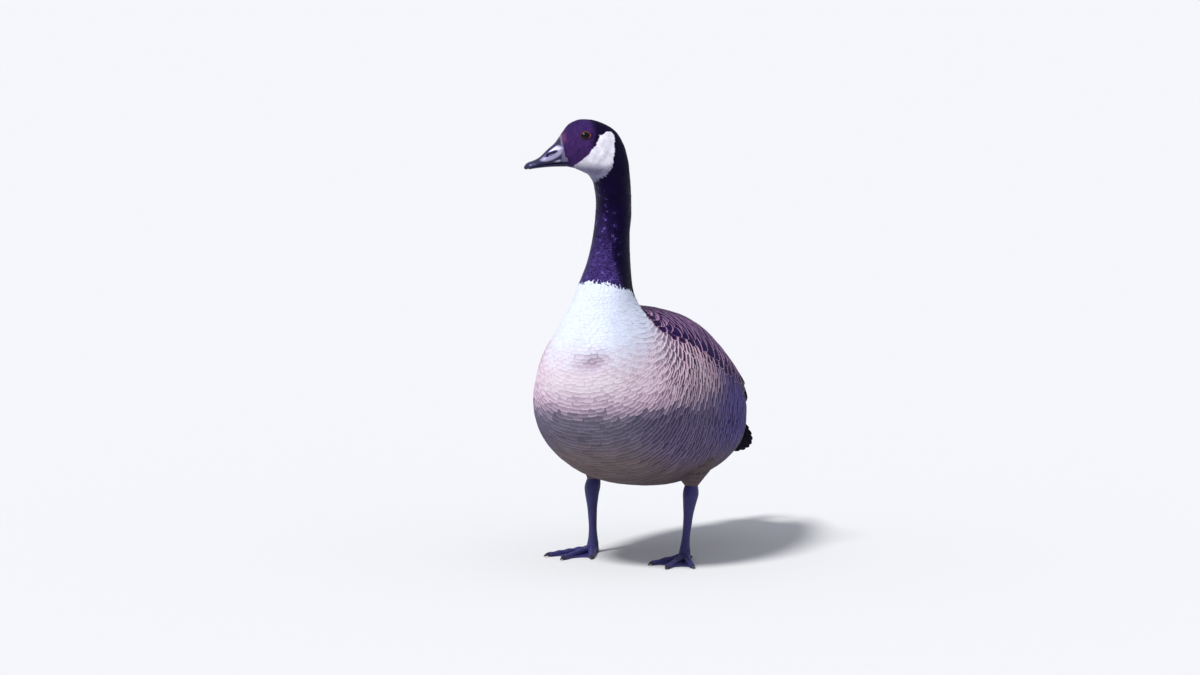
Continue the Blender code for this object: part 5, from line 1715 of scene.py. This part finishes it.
@dataclass(frozen=True)
class LidFinish(Finish):
    """The lid's bare rim, wrinkled, lighter along the edge of the opening."""

    def make(self, effects: Effects) -> bpy.types.Material:
        """Build the material."""
        material, sketch, shader = self.start()
        out = sketch.add("ShaderNodeAttribute", attribute_name="FromRim").outputs["Fac"]
        rim = sketch.mix(sketch.ramp(out, 0.22, 0.5), pigment(176, 104, 98), pigment(38, 17, 48))
        place = sketch.add("ShaderNodeTexCoord").outputs["Object"]
        mottle = place_group(sketch, effects.mottle, {"Vector": place, "Scale": 900.0, "Amount": 0.35})
        toned = sketch.add("ShaderNodeVectorMath", {0: rim}, operation="SCALE")
        sketch.tree.links.new(mottle.outputs["Factor"], toned.inputs["Scale"])
        sketch.tree.links.new(toned.outputs[0], shader.inputs["Base Color"])
        bump_into(sketch, shader, sketch.noise(place, 1400.0), 0.6, 0.0002)
        return material


@dataclass(frozen=True)
class Eyes:
    """Both eyeballs and the lids round them."""

    opening_wide: float = 0.0063
    opening_high: float = 0.0046
    lid_wide: float = 0.0088
    lid_high: float = 0.0070
    segments: int = 72

    def build(self, effects: Effects) -> None:
        """Make the balls and lids."""
        wet = EyeFinish("eye", roughness=0.3, specular=0.1, coat=0.22, coat_roughness=0.04).make()
        rim = LidFinish("lid", roughness=0.6, specular=0.15).make(effects)
        for side, word in ((1, "left"), (-1, "right")):
            self.ball(side, word, wet)
            self.lid(side, word, rim)

    def frame(self, side: int) -> tuple[Array, Array, Array, Array]:
        """Centre, axis, ahead and up of an eye."""
        axis = EYE.axis(side)
        ahead = forward_of(HEAD_YAW)
        ahead = unit(ahead - axis * (ahead @ axis))
        up = np.cross(axis, ahead)
        return EYE.centre(side), axis, ahead, up if up[2] > 0 else -up

    def clear_of(self, points: Array, side: int) -> Array:
        """How far points lie outside the lids, 1 at their feathered edge, large behind the head's plane."""
        centre, axis, ahead, up = self.frame(side)
        away = points - centre
        far = np.hypot(away @ ahead / (self.lid_wide - 0.0014), away @ up / (self.lid_high - 0.0014))
        return np.where(away @ axis > -0.004, far, 9.0)

    def rings(self, side: int, wide: float, high: float, deep: float) -> Array:
        """Rings of a ball about the eye, round its axis."""
        centre, axis, ahead, up = self.frame(side)
        turns = np.arange(self.segments) * 2 * math.pi / self.segments
        ring = wide * np.cos(turns)[:, None] * ahead + high * np.sin(turns)[:, None] * up
        angles = self.angles()[:, None, None]
        return centre + np.sin(angles) * ring + np.cos(angles) * deep * axis

    def angles(self) -> Array:
        """Angles from the axis at which the rings lie, closest over the pupil."""
        return np.concatenate([np.linspace(0.01, 1.2, 26), np.linspace(1.3, math.pi - 0.02, 14)])

    def ball(self, side: int, word: str, material: bpy.types.Material) -> None:
        """An eyeball whose rings lie round its pupil."""
        eye = loft_mesh(f"eyeball_{word}", self.rings(side, EYE.radius, EYE.radius, EYE.radius))
        store(eye.data, "FromPupil", "FLOAT", np.repeat(self.angles(), self.segments))
        eye.data.materials.append(material)
        hand_over(eye, "eye", f"eye_{word}")

    def face_height(self, side: int, aside: Array) -> Array:
        """Height of the face above the eye's centre, along its axis, at offsets from it."""
        centre, axis, ahead, up = self.frame(side)
        places, turns = np.meshgrid(np.linspace(20.5, 25.5, 160), np.linspace(0.3, 2.4, 160), indexing="ij")
        away = BIRD.point(places.ravel(), side * turns.ravel()) - centre
        tree = kdtree.KDTree(len(away))
        for index, (u, w) in enumerate(zip(away @ ahead, away @ up)):
            tree.insert((u, w, 0), index)
        tree.balance()
        near = [tree.find((u, w, 0))[1] for u, w in zip(aside @ ahead, aside @ up)]
        return (away @ axis)[near]

    def lid(self, side: int, word: str, material: bpy.types.Material) -> None:
        """A fleshy almond that holds the eye and runs out under the face's feathers."""
        centre, axis, ahead, up = self.frame(side)
        turns = np.arange(self.segments) * 2 * math.pi / self.segments
        pinch = 1 - 0.12 * np.abs(np.cos(turns)) ** 3
        inner = self.opening_wide * np.cos(turns)[:, None] * ahead
        inner = inner + (self.opening_high * np.sin(turns) * pinch)[:, None] * up
        outer = self.lid_wide * np.cos(turns)[:, None] * ahead + self.lid_high * np.sin(turns)[:, None] * up
        rim = np.sqrt((EYE.radius + 0.0001) ** 2 - np.sum(inner * inner, axis=1))
        face = self.face_height(side, outer) - 0.0003
        rings, shades = [], []
        for out, rise in ((0.0, 0.0), (0.02, 0.0004), (0.10, 0.0007), (0.24, 0.0007), (0.42, 0.0004), (0.7, 0.0001), (1.0, 0.0)):
            height = rim + (face - rim) * out**0.8 + rise
            rings.append(centre + inner + (outer - inner) * out + axis * height[:, None])
            shades.append(np.minimum(out * 2.0 + 0.35 * np.maximum(-np.sin(turns), 0), 1.0))
        for ring, drop in ((outer, 0.0016), (inner * 1.08, 0.0030)):
            base = face if ring is outer else rim
            rings.append(centre + ring + axis * (base - drop)[:, None])
            shades.append(np.ones(self.segments))
        points = np.array(rings).reshape(-1, 3) + SHIFT
        count, each = len(rings), self.segments
        i, j = np.meshgrid(np.arange(count), np.arange(each), indexing="ij")
        a, b = i * each + j, i * each + (j + 1) % each
        c, d = (i + 1) % count * each + (j + 1) % each, (i + 1) % count * each + j
        faces = np.concatenate([np.stack([a, b, c], -1), np.stack([a, c, d], -1)]).reshape(-1, 3)
        mesh = bpy.data.meshes.new(f"lid_{word}")
        set_points(mesh, points, outward(points, faces))
        store(mesh, "FromRim", "FLOAT", np.concatenate(shades))
        mesh.materials.append(material)
        piece = link_mesh(f"lid_{word}", mesh, None)
        hand_over(piece, "head_plumage")


EYES = Eyes()


@dataclass(frozen=True)
class BillFinish(Finish):
    """Slate horn, darker on the nail, with painted shade in the nostrils, over the upper bill's lower half and on the
    lower bill, and painted highlights round the nostrils, along the base and along the gape.
    """

    def make(self, effects: Effects) -> bpy.types.Material:
        """Build the material."""
        material, sketch, shader = self.start()
        place = sketch.add("ShaderNodeTexCoord").outputs["Object"]
        dark = sketch.add("ShaderNodeAttribute", attribute_name="Dark").outputs["Fac"]
        light = sketch.add("ShaderNodeAttribute", attribute_name="Light").outputs["Fac"]
        # Darker horn on the nail, and painted shade in the nostrils and over the lower half.
        colour = sketch.mix(dark, self.colour, pigment(12, 9, 34))
        # Painted highlights over the horn.
        colour = sketch.mix(light, colour, pigment(210, 202, 236))
        mottle = place_group(sketch, effects.mottle, {"Vector": place, "Scale": 160.0, "Amount": 0.30})
        toned = sketch.add("ShaderNodeVectorMath", {0: colour}, operation="SCALE")
        sketch.tree.links.new(mottle.outputs["Factor"], toned.inputs["Scale"])
        sketch.tree.links.new(toned.outputs[0], shader.inputs["Base Color"])
        dull = sketch.math("MULTIPLY_ADD", sketch.noise(place, 240.0), 0.25, self.roughness - 0.1)
        sketch.tree.links.new(dull, shader.inputs["Roughness"])
        bump_into(sketch, shader, sketch.noise(place, 700.0), 0.35, 0.00025)
        return material


@dataclass(frozen=True)
class Bill:
    """Both halves of the bill, with sunk nostrils and a nail at the tip."""

    upper: tuple = (
        ((0.0351, -0.0010), (0.0303, -0.0326), 0.0146),
        ((0.0405, -0.0082), (0.0380, -0.0331), 0.0132),
        ((0.0500, -0.0162), (0.0490, -0.0339), 0.0117),
        ((0.0615, -0.0268), (0.0610, -0.0353), 0.0106),
        ((0.0715, -0.0314), (0.0710, -0.0369), 0.0098),
        ((0.0783, -0.0344), (0.0776, -0.0393), 0.0080),
        ((0.0812, -0.0374), (0.0806, -0.0412), 0.0050),
    )
    lower: tuple = (
        ((0.0299, -0.0330), (0.0294, -0.0392), 0.0124),
        ((0.0380, -0.0335), (0.0374, -0.0390), 0.0116),
        ((0.0490, -0.0343), (0.0480, -0.0390), 0.0105),
        ((0.0610, -0.0357), (0.0600, -0.0396), 0.0093),
        ((0.0705, -0.0373), (0.0695, -0.0405), 0.0078),
        ((0.0760, -0.0396), (0.0755, -0.0414), 0.0045),
    )
    nostril: tuple = (0.0487, -0.0207)
    nostril_half: tuple = (0.0074, 0.0019)
    nostril_tilt: float = math.radians(25)
    fossa_half: tuple = (0.0172, 0.0078)

    def build(self, effects: Effects) -> None:
        """Make both halves."""
        material = BillFinish("bill_horn", colour=pigment(34, 31, 58), roughness=0.34, specular=0.6,
                              specular_tint=pigment(190, 190, 255)).make(effects)
        for name, rows in (("bill_upper", self.upper), ("bill_lower", self.lower)):
            self.half(name, rows, material)

    def half(self, name: str, rows: tuple, material: bpy.types.Material) -> None:
        """One half of the bill, its faces pushed in and out by its details."""
        widest = 0.95 if name == "bill_upper" else 0.08
        form = Form([(head_point(*a), head_point(*b), half, widest, 2.3, HEAD_YAW) for a, b, half in rows])
        segments = 96
        places = np.concatenate([np.linspace(-0.40, form.last - 1, 90), np.linspace(form.last - 1, form.last, 16)[1:]])
        spots = np.repeat(places, segments)
        turns = np.tile(np.arange(segments) * 2 * math.pi / segments, len(places))
        points = form.point(spots, turns)
        normal = form.normal(spots, turns)
        away = points - head_point(0, 0)
        u, w = away @ forward_of(HEAD_YAW), away[:, 2]
        push, dark, light = self.details(name, u, w, turns)
        points = points + normal * push[:, None]
        rings = points.reshape(len(places), segments, 3)
        end = rings[-1].mean(axis=0)
        closing = [end + (rings[-1] - end) * share + forward_of(HEAD_YAW) * rise
                   for share, rise in ((0.82, 0.0006), (0.5, 0.0010), (0.15, 0.0012))]
        piece = loft_mesh(name + "_horn", np.concatenate([rings, closing]))
        extra = np.tile([0.6 if name == "bill_upper" else 0.2], 3 * segments)
        store(piece.data, "Dark", "FLOAT", np.concatenate([dark, extra]))
        store(piece.data, "Light", "FLOAT", np.concatenate([light, extra * 0]))
        piece.data.materials.append(material)
        hand_over(piece, "bill_horn", name)

    def details(self, name: str, u: Array, w: Array, turns: Array) -> tuple[Array, Array, Array]:
        """Push along the normal, the dark mask (the nail's own darker horn and painted shade) and the painted-highlight
        mask, over one half.
        """
        if name == "bill_lower":
            # The lower bill is dark all over: painted shade under the upper bill.
            return np.zeros_like(u), np.full_like(u, 0.85), np.zeros_like(u)
        along = (u - self.nostril[0]) * math.cos(self.nostril_tilt) - (w - self.nostril[1]) * math.sin(self.nostril_tilt)
        above = (u - self.nostril[0]) * math.sin(self.nostril_tilt) + (w - self.nostril[1]) * math.cos(self.nostril_tilt)
        beside = (np.abs(np.sin(turns)) > 0.45).astype(float)
        slot = np.hypot(along / self.nostril_half[0], above / self.nostril_half[1])
        fossa = np.hypot(along / self.fossa_half[0], above / self.fossa_half[1])
        hollow = smooth(1.06, 0.72, slot) * beside
        push = -0.0030 * hollow - 0.0005 * smooth(1.15, 0.6, fossa) * beside
        nail = smooth(0.0700, 0.0725, u) * smooth(1.25, 0.9, np.abs(np.sin(turns)) / 0.75) * (np.cos(turns) > 0)
        push += 0.0004 * nail
        # Painted highlights: bright bands above and below the nostril, a faint light along the bill's base and a light
        # line along the gape.
        nostril_highlight = smooth(1.15, 1.5, slot) * smooth(1.1, 0.8, fossa) * beside * (1 - 0.55 * (above < 0))
        rim = smooth(0.0365, 0.0345, u) * smooth(-0.034, -0.030, w)
        gape_highlight = smooth(0.048, 0.038, u) * smooth(0.0010, 0.0002, np.abs(w + 0.0300 + 0.02 * (u - 0.035)))
        light = np.maximum(np.maximum(nostril_highlight * 0.9, rim * 0.15), gape_highlight * 0.6)
        # Painted shade over the upper bill's lower half and in the nostril's hollow; the nail's own horn is darker.
        low = smooth(-0.0235, -0.0290, w) * smooth(0.075, 0.060, u)
        dark = np.maximum(np.maximum(hollow, nail * 0.4), low * 0.9)
        return push, dark, light


@dataclass(frozen=True)
class LegFinish(Finish):
    """Dark scaled leg skin."""

    def make(self, effects: Effects) -> bpy.types.Material:
        """Build the material."""
        material, sketch, shader = self.start()
        place = sketch.add("ShaderNodeTexCoord").outputs["Object"]
        scales = place_group(sketch, effects.scales, {"Vector": place, "Scale": 520.0})
        furrow = sketch.math("MULTIPLY", scales.outputs["Furrow"], 0.6)
        colour = sketch.mix(furrow, self.colour, pigment(20, 14, 34))
        mottle = place_group(sketch, effects.mottle, {"Vector": place, "Scale": 90.0, "Amount": 0.35})
        toned = sketch.add("ShaderNodeVectorMath", {0: colour}, operation="SCALE")
        sketch.tree.links.new(mottle.outputs["Factor"], toned.inputs["Scale"])
        sketch.tree.links.new(toned.outputs[0], shader.inputs["Base Color"])
        bump_into(sketch, shader, scales.outputs["Height"], 0.7, 0.0004)
        return material


@dataclass(frozen=True)
class HornFinish(Finish):
    """Dark claws, paler at the tips."""

    def make(self) -> bpy.types.Material:
        """Build the material."""
        material, sketch, shader = self.start()
        place = sketch.add("ShaderNodeTexCoord").outputs["Object"]
        bump_into(sketch, shader, sketch.noise(place, 600.0), 0.2, 0.0002)
        return material


@dataclass(frozen=True)
class Leg:
    """One leg: shank, toes and web as one skin, with scutes down the front."""

    side: int
    shift: tuple[float, float]
    rows: tuple = (
        (0.0700, 0.006, 0.0990, 0.0076, 0.0090),
        (0.0705, 0.003, 0.0915, 0.0095, 0.0107),
        (0.0710, 0.001, 0.0850, 0.0101, 0.0114),
        (0.0710, -0.001, 0.0780, 0.0091, 0.0103),
        (0.0705, -0.003, 0.0690, 0.0077, 0.0088),
        (0.0700, -0.0045, 0.0590, 0.0063, 0.0075),
        (0.0695, -0.006, 0.0480, 0.0056, 0.0068),
        (0.0685, -0.009, 0.0300, 0.0051, 0.0063),
        (0.0680, -0.011, 0.0180, 0.0062, 0.0070),
        (0.0680, -0.012, 0.0113, 0.0074, 0.0080),
    )

    def build(self, word: str, material: bpy.types.Material) -> None:
        """Join the finer shank to the foot, and round them off."""
        form = Form([level_station(*leg_row(row, self.side, self.shift)) for row in reversed(self.rows)])
        places = np.linspace(-0.15, form.last, 150)
        spots = np.repeat(places, 64)
        turns = np.tile(np.arange(64) * 2 * math.pi / 64, len(places))
        height = form.point(spots, turns)[:, 2]
        front = smooth(0.2, 0.7, -np.cos(turns))
        wave = np.abs(np.sin(height / 0.0036 * math.pi)) ** 0.6
        push = 0.00028 * (wave - 0.6) * front * smooth(0.012, 0.020, height)
        points = form.point(spots, turns) + form.normal(spots, turns) * push[:, None]
        shank = loft_mesh(f"leg_{word}", points.reshape(len(places), 64, 3))
        foot = bpy.data.objects[f"foot_{word}"]
        copy = bpy.data.objects.new("foot_copy", foot.data.copy())
        copy.data.transform(foot.matrix_world)
        bpy.context.scene.collection.objects.link(copy)
        weld(copy.data)
        fuse(shank, [copy])
        rounded = shank.modifiers.new("round", "REMESH")
        rounded.mode, rounded.voxel_size = "VOXEL", 0.00085
        softened = shank.modifiers.new("soften", "SMOOTH")
        softened.factor, softened.iterations = 0.5, 3
        bake(shank)
        points = np.array([v.co[:] for v in shank.data.vertices])
        points[:, 2] = np.maximum(points[:, 2], 0)
        shank.data.vertices.foreach_set("co", points.astype(np.float32).ravel())
        shank.data.materials.clear()
        shank.data.materials.append(material)
        shank.data.shade_smooth()
        hand_over(shank, "leg_skin", f"shank_{word}", f"foot_{word}")


@dataclass(frozen=True)
class Studio:
    """Pale floor, soft sun from the left front, and the photo's camera."""

    azimuth: float = math.radians(23)
    elevation: float = math.radians(8)
    distance: float = 26.0
    lens: float = 600.0

    def build(self) -> None:
        """Set the stage up."""
        scene = bpy.context.scene
        scene.view_settings.view_transform = "Standard"
        mesh = bpy.data.meshes.new("floor")
        mesh.from_pydata([(-40, -40, 0), (40, -40, 0), (40, 40, 0), (-40, 40, 0)], [], [(0, 1, 2, 3)])
        floor = bpy.data.objects.new("floor", mesh)
        mesh.materials.append(Finish("pale_floor", colour=pigment(206, 206, 206), roughness=0.9).start()[0])
        scene.collection.objects.link(floor)
        world = bpy.data.worlds.new("studio")
        world.use_nodes = True
        world.node_tree.nodes["Background"].inputs[0].default_value = (0.86, 0.89, 1.0, 1.0)
        world.node_tree.nodes["Background"].inputs[1].default_value = 0.60
        scene.world = world
        sun = bpy.data.lights.new("sun", "SUN")
        sun.energy, sun.angle = 3.7, math.radians(12)
        lamp = bpy.data.objects.new("sun", sun)
        lamp.rotation_euler = Vector((0.28, 0.72, -1.15)).to_track_quat("-Z", "Y").to_euler()
        scene.collection.objects.link(lamp)
        self.camera(scene)

    def camera(self, scene: bpy.types.Scene) -> None:
        """A long lens where the photo's camera stood."""
        level = math.cos(self.elevation)
        back = np.array([math.sin(self.azimuth) * level, -math.cos(self.azimuth) * level, math.sin(self.elevation)])
        right = np.array([math.cos(self.azimuth), math.sin(self.azimuth), 0])
        up = np.cross(back, right)
        aim = SHIFT - right * 0.052 + up * 0.284
        data = bpy.data.cameras.new("camera")
        data.lens, data.sensor_width = self.lens, 36
        data.clip_start, data.clip_end = 0.5, 200
        camera = bpy.data.objects.new("camera", data)
        camera.location = Vector(aim + back * self.distance)
        camera.rotation_euler = Vector(-back).to_track_quat("-Z", "Y").to_euler()
        scene.collection.objects.link(camera)
        scene.camera = camera


def main() -> None:
    """Build the goose's looks."""
    logging.basicConfig(level=logging.INFO, format="%(message)s")
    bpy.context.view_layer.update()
    effects = Effects()
    skin = Skin().build(SkinFinish("skin", roughness=0.8, specular=0.2).make(effects))
    hand_over(skin, "body_plumage", *Skin.NODES)
    coat = Coat(effects)
    coat.build()
    HeadCoat().build(effects, coat.rng)
    EYES.build(effects)
    Bill().build(effects)
    legs = LegFinish("leg_skin", colour=pigment(42, 38, 104), roughness=0.5, specular=0.45).make(effects)
    claws = HornFinish("claw_horn", colour=pigment(30, 24, 40), roughness=0.4).make()
    for side, shift, word in ((1, (0.0, 0.0), "left"), (-1, (0.002, 0.020), "right")):
        Leg(side, shift).build(word, legs)
        for toe in ("inner", "middle", "outer", "hind"):
            claw = bpy.data.objects[f"claw_{word}_{toe}"]
            claw.data.materials.clear()
            claw.data.materials.append(claws)
    Studio().build()


if __name__ == "__main__":
    main()
